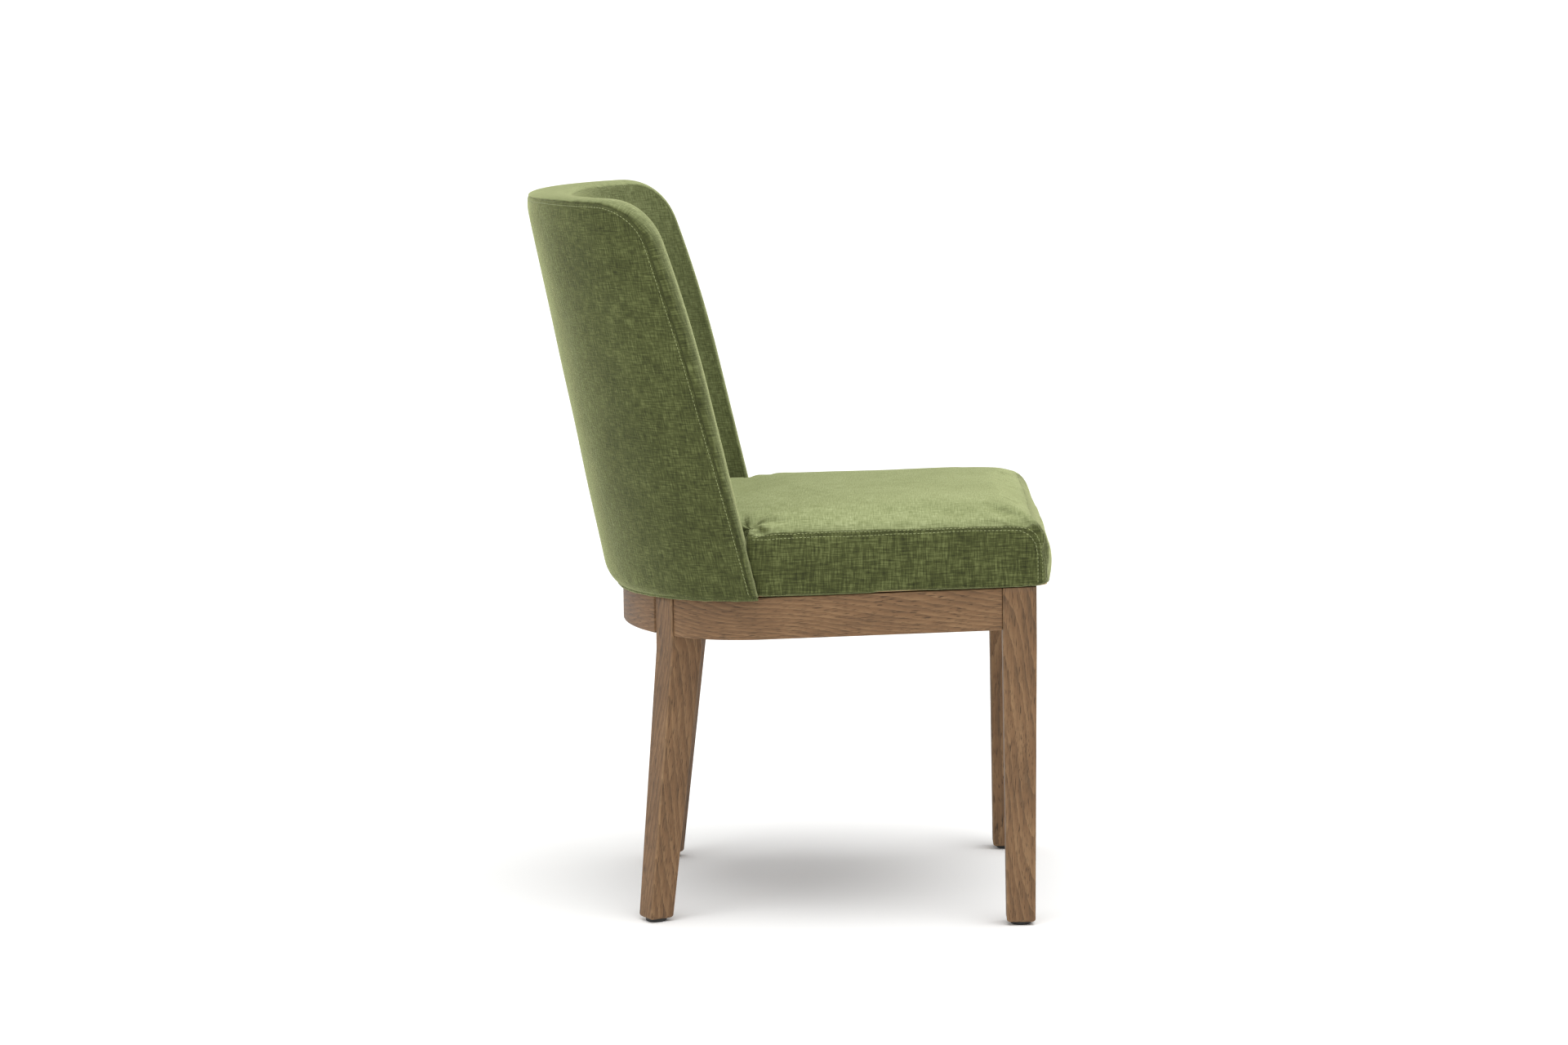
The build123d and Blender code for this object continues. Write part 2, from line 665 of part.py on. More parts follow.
def tee_nut(bearing):
    """Tee nut: its barrel fills the shell's hole and its flange lies sunk in the plywood's outside."""
    point, direction = bolt_axis(bearing)
    barrel = tube(point, direction, SHELL_PLY, TEE_NUT_BARREL, BOLT_DIAMETER)
    start = moved(point, direction, SHELL_PLY - TEE_NUT_FLANGE)
    return barrel + tube(start, direction, TEE_NUT_FLANGE, TEE_NUT_DIAMETER, BOLT_DIAMETER)


def tee_nut_room(bearing):
    """What the tee nut takes out of the shell, open to its outside face."""
    point, direction = bolt_axis(bearing)
    start = moved(point, direction, -BRACKET_THICKNESS)
    barrel = rod(start, direction, BRACKET_THICKNESS + SHELL_PLY, TEE_NUT_BARREL)
    flange_start = moved(point, direction, SHELL_PLY - TEE_NUT_FLANGE)
    return barrel + rod(flange_start, direction, WADDING, TEE_NUT_DIAMETER)


def board_screw_seat(bearing):
    """Seat of the screw that holds a bracket's toe down on the board."""
    foot, outward = shell_frame(bearing)
    x = foot[0] - TOE_SCREW_REACH * outward[0]
    y = foot[1] - TOE_SCREW_REACH * outward[1]
    return x, y, deck(y) + BOARD_TOP + BRACKET_THICKNESS


def bracket_room(bearing):
    """Pocket in the foam round a bracket and its bolt heads."""
    foot, _ = shell_frame(bearing)
    width = BRACKET_WIDTH + 2 * SOFT_GAP
    depth = BRACKET_THICKNESS + BOLT_HEAD_HEIGHT + SOFT_GAP
    leaf_ring = horseshoe_ring(shell_outline(PLY_OUTSIDE), shell_outline(PLY_INSIDE + depth), RING_START_Y)
    leaf = leaning(leaf_ring) & deck_layer(0, BOARD_TOP + BRACKET_RISE + SOFT_GAP)
    reach = PLY_INSIDE + BRACKET_REACH + SOFT_GAP
    toe_ring = horseshoe_ring(shell_outline(PLY_OUTSIDE), shell_outline(reach), RING_START_Y)
    height = BOARD_TOP + BRACKET_THICKNESS + SCREW_HEAD_HEIGHT + SOFT_GAP
    toe = upright(toe_ring) & deck_layer(BOARD_TOP - BOARD_GAP, height)
    across_shell = Pos(*foot) * Rot(Z=-bearing) * Rectangle(width, BRACKET_STRIP)
    return (leaf + toe) & extrude(across_shell, amount=FAR)


# ================================================================ seat
def seat_side_view(inset, rear_y, rear_top_y, low):
    """Side view of the cushion: upright front, rolled shoulder, top parallel to the deck, leaning rear."""
    rise = SEAT_SIDE_RISE + SEAT_CROWN + SHOULDER_LIFT - inset
    front = SEAT_FRONT_Y + inset
    radius = SHOULDER_RADIUS - inset
    steep = hypot(1, DECK_SLOPE)
    centre = (front + radius, deck(front + radius) + rise - radius * steep)
    top = (centre[0] + radius * DECK_SLOPE / steep, centre[1] + radius / steep)
    turn = (radians(180) + atan2(1, DECK_SLOPE)) / 2
    middle = (centre[0] + radius * cos(turn), centre[1] + radius * sin(turn))
    rear_foot = (rear_y, deck(rear_y) + low)
    rear_top = (rear_top_y, deck(rear_top_y) + rise)
    front_foot = (front, deck(front) + low)
    edges = [
        Edge.make_line(front_foot, (front, centre[1])),
        Edge.make_three_point_arc((front, centre[1]), middle, top),
        Edge.make_line(top, rear_top),
        Edge.make_line(rear_top, rear_foot),
        Edge.make_line(rear_foot, front_foot),
    ]
    return extrude(Plane.YZ * Face(Wire(edges)), amount=FAR, both=True)


def seat_plan(inset):
    """The cushion in plan, far past the wings: straight sides and rounded front corners."""
    front = SEAT_FRONT_Y + inset
    plan = Pos(0, front + FAR / 2) * Rectangle(2 * (SEAT_HALF - inset), FAR)
    plan = fillet(plan.vertices().sort_by(Axis.Y)[:2], SEAT_CORNER_RADIUS - inset)
    return extrude(plan, amount=FAR)


def seat_front_block(inset, low):
    """The cushion in front of the wings, full width, its rear face following the wings' edge."""
    gap = -SOFT_GAP - inset
    rear_y = edge_at(DECK_Z + low, gap)
    rear_top_y = edge_at(DECK_Z + SEAT_SIDE_RISE + SEAT_CROWN, gap)
    return seat_plan(inset) & seat_side_view(inset, rear_y, rear_top_y, low)


def seat_rear_block(inset, low):
    """The cushion between the wings, as far as the back's inside face."""
    plan = horseshoe(*sitter_outline(-SOFT_GAP - inset), RING_START_Y)
    return leaning(plan) & seat_side_view(inset, SEAT_WIDTH, SEAT_WIDTH, low)


def crown(inset):
    """Everything under the cushion's crown: an arc across the seat, carried along the deck's slope."""
    start = -FAR / 2
    radius = (SEAT_HALF**2 + SEAT_CROWN**2) / (2 * SEAT_CROWN)
    top = deck(start) + SEAT_SIDE_RISE + SEAT_CROWN - inset
    half = SHELL_HALF + WING_PROUD
    side = top - radius + sqrt(radius**2 - half**2)
    edges = [
        Edge.make_three_point_arc((-half, start, side), (0, start, top), (half, start, side)),
        Edge.make_line((half, start, side), (half, start, 0)),
        Edge.make_line((half, start, 0), (-half, start, 0)),
        Edge.make_line((-half, start, 0), (-half, start, side)),
    ]
    return Solid.extrude(Face(Wire(edges)), Vector(0, FAR, -DECK_SLOPE * FAR))


def cushion(inset, low):
    """The whole cushion, moved in by an inset; its front part starts at a low above the deck."""
    body = seat_front_block(inset, low) + seat_rear_block(inset, BOARD_TOP)
    return body & crown(inset)


def before_wings():
    """Everything in front of the wings' feet."""
    step_y = EDGE_FOOT_Y - SOFT_GAP - COVER
    return across([(-FAR, 0), (step_y, 0), (step_y, HEIGHT), (-FAR, HEIGHT)])


def board_blank():
    """The seat board before drilling: out over the rails in front of the wings, inside the shell behind."""
    front = seat_plan(BOARD_SETBACK) & before_wings()
    rear = leaning(horseshoe(*shell_outline(PLY_INSIDE), RING_START_Y))
    return (front + rear) & deck_layer(BOARD_BOTTOM, BOARD_TOP)


def seat_board():
    """Plywood board with vent holes under the cushion."""
    board = board_blank()
    for x in (-VENT_PITCH, 0, VENT_PITCH):
        for y in (-VENT_PITCH, 0):
            board = board - rod((x, y - VENT_PITCH / 2, 0), (0, 0, 1), FAR, 2 * VENT_RADIUS)
    return board


def seat_foam():
    """Foam block on the board, with a lip down over the board's front and side edges."""
    lip = cushion(COVER, COVER) & before_wings() & deck_layer(BOARD_BOTTOM, BOARD_TOP)
    return cushion(COVER, BOARD_TOP) + (lip - board_blank())


def seat_skin(board):
    """The cushion's cover with its return under the board, before it is cut into panels."""
    skin = cushion(0, 0) - cushion(COVER, COVER) - board
    half = SEAT_HALF - COVER - COVER_RETURN
    front = SEAT_FRONT_Y + COVER + COVER_RETURN
    opening = Pos(0, front + FAR / 2) * Rectangle(2 * half, FAR)
    return skin - (extrude(opening, amount=FAR) & deck_layer(-COVER, BOARD_TOP))


def side_zone():
    """The part of the skin that belongs to the right side panel, with its return under the board."""
    wall = beyond((SEAT_HALF - COVER, 0, 0), (1, 0, 0))
    front = SEAT_FRONT_Y + COVER + COVER_RETURN
    under = beyond((SEAT_HALF - COVER - COVER_RETURN, 0, 0), (1, 0, 0))
    return wall + (under & beyond((0, front, 0), (0, 1, 0)) & deck_layer(-COVER, COVER))


def dust_cover_plan(inset):
    """The dust cover in plan, inside the rails."""
    return horseshoe(*rail_outline(RAIL_THICKNESS + inset), FRONT_RAIL_Y + RAIL_THICKNESS + inset)


def dust_cover():
    """Black cloth stapled under the board, inside the rails."""
    return upright(dust_cover_plan(COVER)) & deck_layer(BOARD_BOTTOM - DUST_COVER, BOARD_BOTTOM)


def staple(x, y, along_x):
    """A wire staple: crown under the dust cover, two legs up into the board."""
    low = BOARD_BOTTOM - DUST_COVER - STAPLE_WIRE
    size = (STAPLE_WIDTH, STAPLE_WIRE) if along_x else (STAPLE_WIRE, STAPLE_WIDTH)
    z = deck(y) + low
    body = Pos(x, y, z) * Box(*size, STAPLE_LEG, align=(Align.CENTER, Align.CENTER, Align.MIN))
    inner = STAPLE_WIDTH - 2 * STAPLE_WIRE
    size = (inner, STAPLE_WIRE) if along_x else (STAPLE_WIRE, inner)
    gap = Pos(x, y, z + STAPLE_WIRE) * Box(*size, STAPLE_LEG, align=(Align.CENTER, Align.CENTER, Align.MIN))
    return body - gap


def staples():
    """Staples along the front and both straight sides of the dust cover."""
    margin = RAIL_THICKNESS + COVER + STAPLE_MARGIN
    side_x = RAIL_HALF - margin
    front_y = FRONT_RAIL_Y + margin
    count = int((side_x - STAPLE_CORNER) // STAPLE_PITCH)
    row = [staple(i * STAPLE_PITCH, front_y, True) for i in range(-count, count + 1)]
    last_y = CORNER_Y - STAPLE_PITCH / 2
    for step in range(int((CORNER_Y - front_y) // STAPLE_PITCH)):
        for side in (-1, 1):
            row.append(staple(side * side_x, last_y - step * STAPLE_PITCH, False))
    return row


# ================================================================ assembly
def save(name, shape):
    """Write one node."""
    solids = shape if isinstance(shape, list) else [shape]
    if len(solids) > 1:
        export_step(Compound(children=[solid.solid() for solid in solids]), f"parts/{name}.step")
    else:
        export_step(solids[0].solid(), f"parts/{name}.step")


def save_pair(name, solid):
    """Write a right piece and its left mirror image."""
    for side, piece in zip(("left", "right"), pair(solid)):
        save(f"{name}_{side}", piece)


def both_sides(solids):
    """Every right piece with its mirror image."""
    return [piece for solid in solids for piece in pair(solid)]


def build_base():
    """Legs, rails, corner blocks and their hardware."""
    pins = dowels()
    bolts = leg_bolts()
    block_seats = block_screw_seats()
    block_screws = [screw(*seat, BLOCK_SCREW_LENGTH) for seat in block_seats]
    block_holes = [screw_room(*seat, BLOCK_SCREW_LENGTH) for seat in block_seats]
    up = (0, 0, 1)
    seat_screws = [screw(seat, up, seat_screw_length()) for seat in seat_screw_seats()]
    seat_holes = [rod(seat, up, seat_screw_length(), SCREW_DIAMETER) for seat in seat_screw_seats()]
    hoop = rail_hoop()
    feet = {"front": (FRONT_LEG_X, FRONT_LEG_Y), "rear": rear_foot_centre()}
    nails = {name: glide_nail(centre) for name, centre in feet.items()}

    save_pair("front_leg", cut_all(front_leg(), pins + bolts + [nails["front"]]))
    save_pair("rear_leg", cut_all(rear_leg(), pins + bolts + [nails["rear"]]))
    save_pair("side_rail", cut_all(side_rail(hoop), pins + block_holes))
    save("rear_rail", cut_all(rear_rail(hoop), both_sides(pins)))
    save("front_rail", cut_all(front_rail(), both_sides(pins + block_holes)))
    save_pair("corner_block_front", cut_all(front_block(), bolts + block_holes + seat_screws))
    save_pair("corner_block_rear", cut_all(rear_block(), bolts + seat_screws))
    for name, centre in feet.items():
        save_pair(f"glide_{name}", glide(centre) - nails[name])
    save("glide_nails", both_sides(list(nails.values())))
    save("rail_dowels", both_sides(pins))
    save("leg_bolts", both_sides(bolts))
    save("leg_washers", both_sides(leg_washers()))
    save("leg_nuts", both_sides(leg_nuts()))
    save("corner_block_screws", both_sides(block_screws))
    save("seat_screws", both_sides(seat_screws))
    return both_sides(seat_holes)


def build_seat(seat_holes, toe_holes):
    """Board, foam, covers and what holds them."""
    board = cut_all(seat_board(), seat_holes + toe_holes)
    wires = staples()
    skin = seat_skin(board)
    save("seat_board", cut_all(board, wires))
    rooms = [bracket_room(bearing) for bearing in BRACKET_BEARINGS]
    save("seat_foam", cut_all(seat_foam(), both_sides(rooms)))
    zone = side_zone()
    save_pair("seat_side_panel", cut_all(skin & zone, seat_holes))
    top = cut_all(skin, both_sides([zone]) + seat_holes + both_sides(rooms))
    save("seat_cover_top", top)
    save("seat_dust_cover", cut_all(dust_cover(), seat_holes + wires))
    save("dust_cover_staples", wires)


def build_back():
    """Shell, padding, covers, brackets and their fasteners."""
    names = ("back_bracket_centre", "back_bracket", "back_bracket_wing")
    bolts = [bracket_bolt(bearing) for bearing in BRACKET_BEARINGS]
    nuts = [tee_nut(bearing) for bearing in BRACKET_BEARINGS]
    nut_rooms = [tee_nut_room(bearing) for bearing in BRACKET_BEARINGS]
    rooms = [bracket_room(bearing) for bearing in BRACKET_BEARINGS]
    toe_screws = [screw(board_screw_seat(b), (0, 0, -1), BRACKET_THICKNESS + BOARD_SCREW_BITE)
                  for b in BRACKET_BEARINGS]
    every_nut_room = nut_rooms[:1] + both_sides(nut_rooms[1:])
    every_room = rooms[:1] + both_sides(rooms[1:])

    for name, bearing, bolt, toe in zip(names, BRACKET_BEARINGS, bolts, toe_screws):
        piece = cut_all(bracket(bearing), [bolt, toe])
        if bearing:
            save_pair(name, piece)
        else:
            save(name, piece)
    save("back_bracket_bolts", bolts[:1] + both_sides(bolts[1:]))
    save("back_tee_nuts", nuts[:1] + both_sides(nuts[1:]))
    save("bracket_board_screws", toe_screws[:1] + both_sides(toe_screws[1:]))
    save("back_shell", cut_all(back_shell(), every_nut_room))
    save("back_wadding_outer", cut_all(back_wadding(), every_nut_room))
    save("back_foam_inner", cut_all(back_foam(), every_room))
    skin = back_skin()
    save("back_cover_outer", skin & outer_zone())
    save("back_cover_inner", cut_all(skin & inner_zone(), every_room))
    save("back_edge_band", skin - outer_zone() - inner_zone())
    return toe_screws[:1] + both_sides(toe_screws[1:])


os.makedirs("parts", exist_ok=True)
board_holes = build_base()
bracket_screws = build_back()
build_seat(board_holes, bracket_screws)
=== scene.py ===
import math

import bpy
import numpy as np
from bpy.props import FloatProperty, FloatVectorProperty, PointerProperty
from mathutils import Matrix, Vector
from mathutils.bvhtree import BVHTree


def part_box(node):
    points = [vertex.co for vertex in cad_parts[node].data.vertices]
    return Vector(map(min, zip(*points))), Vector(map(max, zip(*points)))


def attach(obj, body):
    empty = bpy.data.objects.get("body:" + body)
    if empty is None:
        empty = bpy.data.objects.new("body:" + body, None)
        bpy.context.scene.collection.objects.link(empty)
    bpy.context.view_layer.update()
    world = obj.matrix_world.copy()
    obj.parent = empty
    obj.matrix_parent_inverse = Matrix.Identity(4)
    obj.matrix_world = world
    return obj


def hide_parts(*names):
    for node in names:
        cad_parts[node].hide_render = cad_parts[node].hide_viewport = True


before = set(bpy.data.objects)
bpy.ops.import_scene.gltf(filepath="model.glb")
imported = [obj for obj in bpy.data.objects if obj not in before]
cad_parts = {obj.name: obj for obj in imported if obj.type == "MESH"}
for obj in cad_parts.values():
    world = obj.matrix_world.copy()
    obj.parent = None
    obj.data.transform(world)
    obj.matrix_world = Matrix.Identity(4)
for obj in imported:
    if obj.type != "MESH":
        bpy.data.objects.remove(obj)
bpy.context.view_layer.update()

bl_info = {
    "name": "Tub-back dining chair",
    "version": (1, 0, 0),
    "blender": (4, 5, 0),
    "location": "View3D > Sidebar > Chair",
    "description": "Upholstery, stitching, timber and finishes for a tub-back dining chair",
    "category": "Object",
}

MM = 0.001

# ---------------------------------------------------------------- the chair's own sizes, in metres
BAND_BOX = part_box("back_edge_band")
SEAT_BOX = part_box("seat_cover_top")
SEAT_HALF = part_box("seat_side_panel_right")[1][0]
SEAT_FRONT = SEAT_BOX[0][1]
HEIGHT = BAND_BOX[1][2]
DECK_Z = 397 * MM                  # deck height at y = 0
DECK_SLOPE = 0.0297                # the deck falls towards the rear
RAKE = 0.2008                      # the back's lean per unit of height
CORNER_Y = 26.5 * MM               # where straight sides turn into the corner arcs
SHELL_HALF = SEAT_HALF + 8 * MM
SHELL_RADIUS = 155 * MM
SHELL_APEX = 223.5 * MM
WING_THICK = 38 * MM
CENTRE_THICK = 58 * MM
EDGE_FOOT_Y = 35.5 * MM
EDGE_LEAN = math.radians(13.3)
EDGE_BEND_Z = 640 * MM
EDGE_BEND_RADIUS = 1300 * MM
TOP_CORNER_RADIUS = 80 * MM
TOP_LEAN = 4.5 * MM                # the outer panel leans in at the very top
TOP_LEAN_REACH = 14 * MM           # how far below the top the lean fades
TOP_MIDDLE = 340 * MM              # the lean ends this far round from the middle
BOARD_TOP = 17 * MM                # seat board's top above the deck
HEM_MIDDLE = 300 * MM              # the hem hangs lower this far round from its middle
STITCH_PITCH = 4.6 * MM
STITCH_LENGTH = 3.5 * MM
RAIL_HALF = SEAT_HALF - 7 * MM
RAIL_RADIUS = 140 * MM
RAIL_APEX = 204.5 * MM
RAIL_THICK = 22 * MM
RAIL_HEIGHT = 50 * MM
LEG_BLOCK = 20 * MM
FOOT_ROUND = 4 * MM
REAR_LEG_TURN = math.radians(30)
REAR_LEG_SHIFT = 25 * MM
REAR_LEG_TOP = 41 * MM
REAR_LEG_FOOT = 31 * MM
FRONT_LEG_TOP = 40 * MM
FRONT_LEG_FOOT = 34 * MM
GLIDE_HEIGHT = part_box("glide_front_left")[1][2]
JOINT_GAP = 0.3 * MM               # fine dark line where a rail meets a leg
DECK_GAP = 0.2 * MM                # timber tops lie just under the deck plane
SIM_FRAMES = 20
FLOOR_REACH = 250                  # half the floor's width, in metres
CAMERA_PLACE = (-5.4796, -0.0566, 1.165)


def linear(hex_colour):
    """An sRGB hex colour as linear red, green, blue."""
    value = np.array([int(hex_colour[i:i + 2], 16) for i in (1, 3, 5)]) / 255
    return tuple(np.where(value <= 0.04045, value / 12.92, ((value + 0.055) / 1.055) ** 2.4).tolist())


def deck(y):
    """Height of the deck plane: a straight fall along y."""
    return DECK_Z - DECK_SLOPE * y


def smooth(x):
    """Smoothstep of x held to 0..1: 3x^2 - 2x^3."""
    x = np.clip(x, 0, 1)
    return x * x * (3 - 2 * x)


# ---------------------------------------------------------------- meshes
def build(name, points, faces, body="root", **attributes):
    """A smooth closed mesh from points (n, 3) and faces, with its point attributes, riding on a body.

    Its faces look outwards: they are reversed where the enclosed volume, the sum of a . (b x c) over
    the triangles, comes out negative.
    """
    mesh = bpy.data.meshes.new(name)
    mesh.from_pydata(np.asarray(points, float).tolist(), [], [list(map(int, face)) for face in faces])
    for key, values in attributes.items():
        put(mesh, key, values)
    mesh.polygons.foreach_set("use_smooth", np.ones(len(mesh.polygons), bool))
    mesh.update()
    mesh.calc_loop_triangles()
    corners = np.empty(len(mesh.loop_triangles) * 3, np.int32)
    mesh.loop_triangles.foreach_get("vertices", corners)
    a, b, c = np.asarray(points, float)[corners.reshape(-1, 3)].transpose(1, 0, 2)
    if np.einsum("ij,ij->", a, np.cross(b, c)) < 0:
        mesh.flip_normals()
    piece = bpy.data.objects.new(name, mesh)
    bpy.context.scene.collection.objects.link(piece)
    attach(piece, body)
    return piece


def grid_faces(rows, columns, closed_rows=False, closed_columns=False):
    """Quads of a grid of points, wrapped round where a direction is closed."""
    index = np.arange(rows * columns).reshape(rows, columns)
    if closed_rows:
        index = np.vstack([index, index[:1]])
    if closed_columns:
        index = np.hstack([index, index[:, :1]])
    return np.stack([index[:-1, :-1], index[:-1, 1:], index[1:, 1:], index[1:, :-1]], -1).reshape(-1, 4)


def capped_tube(grid):
    """Points and faces of a tube: grid (stations, ring, 3), closed round the ring, a fan at each end."""
    stations, ring = grid.shape[:2]
    points = np.vstack([grid.reshape(-1, 3), grid[0].mean(0), grid[-1].mean(0)])
    faces = grid_faces(stations, ring, closed_columns=True).tolist()
    here = np.arange(ring)
    after = np.roll(here, -1)
    first, last = stations * ring, stations * ring + 1
    top = (stations - 1) * ring
    faces += np.stack([after, here, np.full(ring, first)], 1).tolist()
    faces += np.stack([top + here, top + after, np.full(ring, last)], 1).tolist()
    return points, faces


def tube_values(values):
    """Values on a tube's grid, with the mean of each end ring for its fan's centre."""
    ends = np.stack([values[0].mean(0), values[-1].mean(0)])
    return np.concatenate([values.reshape((-1,) + values.shape[2:]), ends])


def applied(piece):
    """The piece's modifiers made part of its mesh."""
    seen = piece.evaluated_get(bpy.context.evaluated_depsgraph_get())
    mesh = bpy.data.meshes.new_from_object(seen)
    piece.modifiers.clear()
    piece.data = mesh
    return piece


def read_points(mesh):
    """A mesh's points as an (n, 3) array."""
    points = np.empty(len(mesh.vertices) * 3, np.float32)
    mesh.vertices.foreach_get("co", points)
    return points.reshape(-1, 3).astype(float)


def write_points(mesh, points):
    """Put an (n, 3) array back into a mesh."""
    mesh.vertices.foreach_set("co", np.asarray(points, np.float32).ravel())
    mesh.update()


def normals_of(mesh):
    """A mesh's point normals as an (n, 3) array."""
    values = np.empty(len(mesh.vertices) * 3, np.float32)
    mesh.vertices.foreach_get("normal", values)
    return values.reshape(-1, 3).astype(float)


def put(mesh, key, values):
    """Write a point attribute, a vector or a single value for each point."""
    values = np.asarray(values, np.float32)
    vector = values.ndim == 2
    layer = mesh.attributes.new(key, "FLOAT_VECTOR" if vector else "FLOAT", "POINT")
    layer.data.foreach_set("vector" if vector else "value", values.ravel())


def paint_light_by_facing(piece, least, most, start, width, extra=0.0):
    """Paint light by facing: a value from least on upright faces to most on the faces that look up, plus any
    extra; the fabric is coloured paler with it, a painted highlight.
    """
    looks_up = smooth((normals_of(piece.data)[:, 2] - start) / width)
    put(piece.data, "nap", least + (most - least) * looks_up + extra)


def unit(vectors):
    """Vectors scaled to length one."""
    return vectors / np.maximum(np.linalg.norm(vectors, axis=-1, keepdims=True), 1e-12)


def spaced(path, pitch):
    """Points every pitch along a polyline, with the direction of travel there."""
    steps = np.linalg.norm(np.diff(path, axis=0), axis=1)
    length = np.concatenate([[0], np.cumsum(steps)])
    places = np.arange(pitch / 2, length[-1], pitch)
    points = np.stack([np.interp(places, length, path[:, i]) for i in range(3)], 1)
    ahead = np.stack([np.interp(places + pitch / 4, length, path[:, i]) for i in range(3)], 1)
    behind = np.stack([np.interp(places - pitch / 4, length, path[:, i]) for i in range(3)], 1)
    return points, unit(ahead - behind)


def stitches(name, runs, pitch, length, radius):
    """Sewn stitches along several runs of (path, outward normals).

    Each stitch is a small spindle: radius times the square root of a half sine along its length.
    """
    around, along = 6, 7
    turn = np.linspace(0, 2 * np.pi, around, endpoint=False)
    step = np.linspace(0, 1, along)
    swell = np.sqrt(np.sin(np.pi * np.clip(step, 0.02, 0.98)))
    all_points, all_faces, count = [], [], 0
    for path, outward in runs:
        centres, tangents = spaced(path, pitch)
        lift = np.stack([np.interp(np.linspace(0, 1, len(centres)), np.linspace(0, 1, len(outward)),
                                   outward[:, i]) for i in range(3)], 1)
        side = unit(np.cross(tangents, lift))
        lift = unit(np.cross(side, tangents))
        offset = (step - 0.5)[None, :, None, None] * length * tangents[:, None, None, :]
        ring = (np.cos(turn)[None, None, :, None] * side[:, None, None, :]
                + np.sin(turn)[None, None, :, None] * lift[:, None, None, :] * 0.7)
        body = centres[:, None, None, :] + offset + radius * swell[None, :, None, None] * ring
        for stitch in body:
            points, faces = capped_tube(stitch)
            all_points.append(points)
            all_faces.append(np.array([face + face[-1:] * (4 - len(face)) for face in faces]) + count)
            count += len(points)
    faces = [list(dict.fromkeys(face)) for face in np.vstack(all_faces).tolist()]
    return build(name, np.vstack(all_points), faces)


# ---------------------------------------------------------------- plan of the tub back
def rear_arc(half, radius, apex):
    """Radius, centre and end bearing of the rear arc that touches both corner arcs."""
    inset = half - radius
    reach = apex - CORNER_Y
    rear = (inset**2 + reach**2 - radius**2) / (2 * (reach - radius))
    return rear, apex - rear, math.atan2(inset, CORNER_Y - apex + rear)


SHELL_REAR, SHELL_CENTRE_Y, SHELL_JOIN = rear_arc(SHELL_HALF, SHELL_RADIUS, SHELL_APEX)


def station(y):
    """Arc length from the rear's middle round to where the plan reaches a distance y, on the right."""
    y = np.asarray(y, float)
    corner = np.pi / 2 - np.arcsin(np.clip((y - CORNER_Y) / SHELL_RADIUS, -1, 1))
    rear = np.arccos(np.clip((y - SHELL_CENTRE_Y) / SHELL_REAR, -1, 1))
    join = SHELL_REAR * SHELL_JOIN
    return np.where(rear < SHELL_JOIN, SHELL_REAR * rear, join + SHELL_RADIUS * (corner - SHELL_JOIN))


def tub(sigma, z, depth):
    """A point of the back: plan point at arc length sigma, moved in by depth, carried up the rake to z.

    On the rear arc the bearing is sigma / rear radius; past its end it grows by arc / corner radius.
    """
    side = np.sign(sigma)
    arc = np.abs(sigma)
    join = SHELL_REAR * SHELL_JOIN
    rear = arc < join
    bearing = np.where(rear, arc / SHELL_REAR, SHELL_JOIN + (arc - join) / SHELL_RADIUS)
    radius = np.where(rear, SHELL_REAR, SHELL_RADIUS) - depth
    x = np.where(rear, 0, SHELL_HALF - SHELL_RADIUS) + radius * np.sin(bearing)
    y = np.where(rear, SHELL_CENTRE_Y, CORNER_Y) + radius * np.cos(bearing)
    return np.stack([side * x, y + RAKE * (z - DECK_Z), z + 0 * x], -1)


def thickness(sigma):
    """Thickness of the back: thin at the wings, fuller at the middle, with a smooth change between."""
    share = 1 - smooth(np.abs(sigma) / (SHELL_REAR * SHELL_JOIN * 1.15))
    return WING_THICK + (CENTRE_THICK - WING_THICK) * share


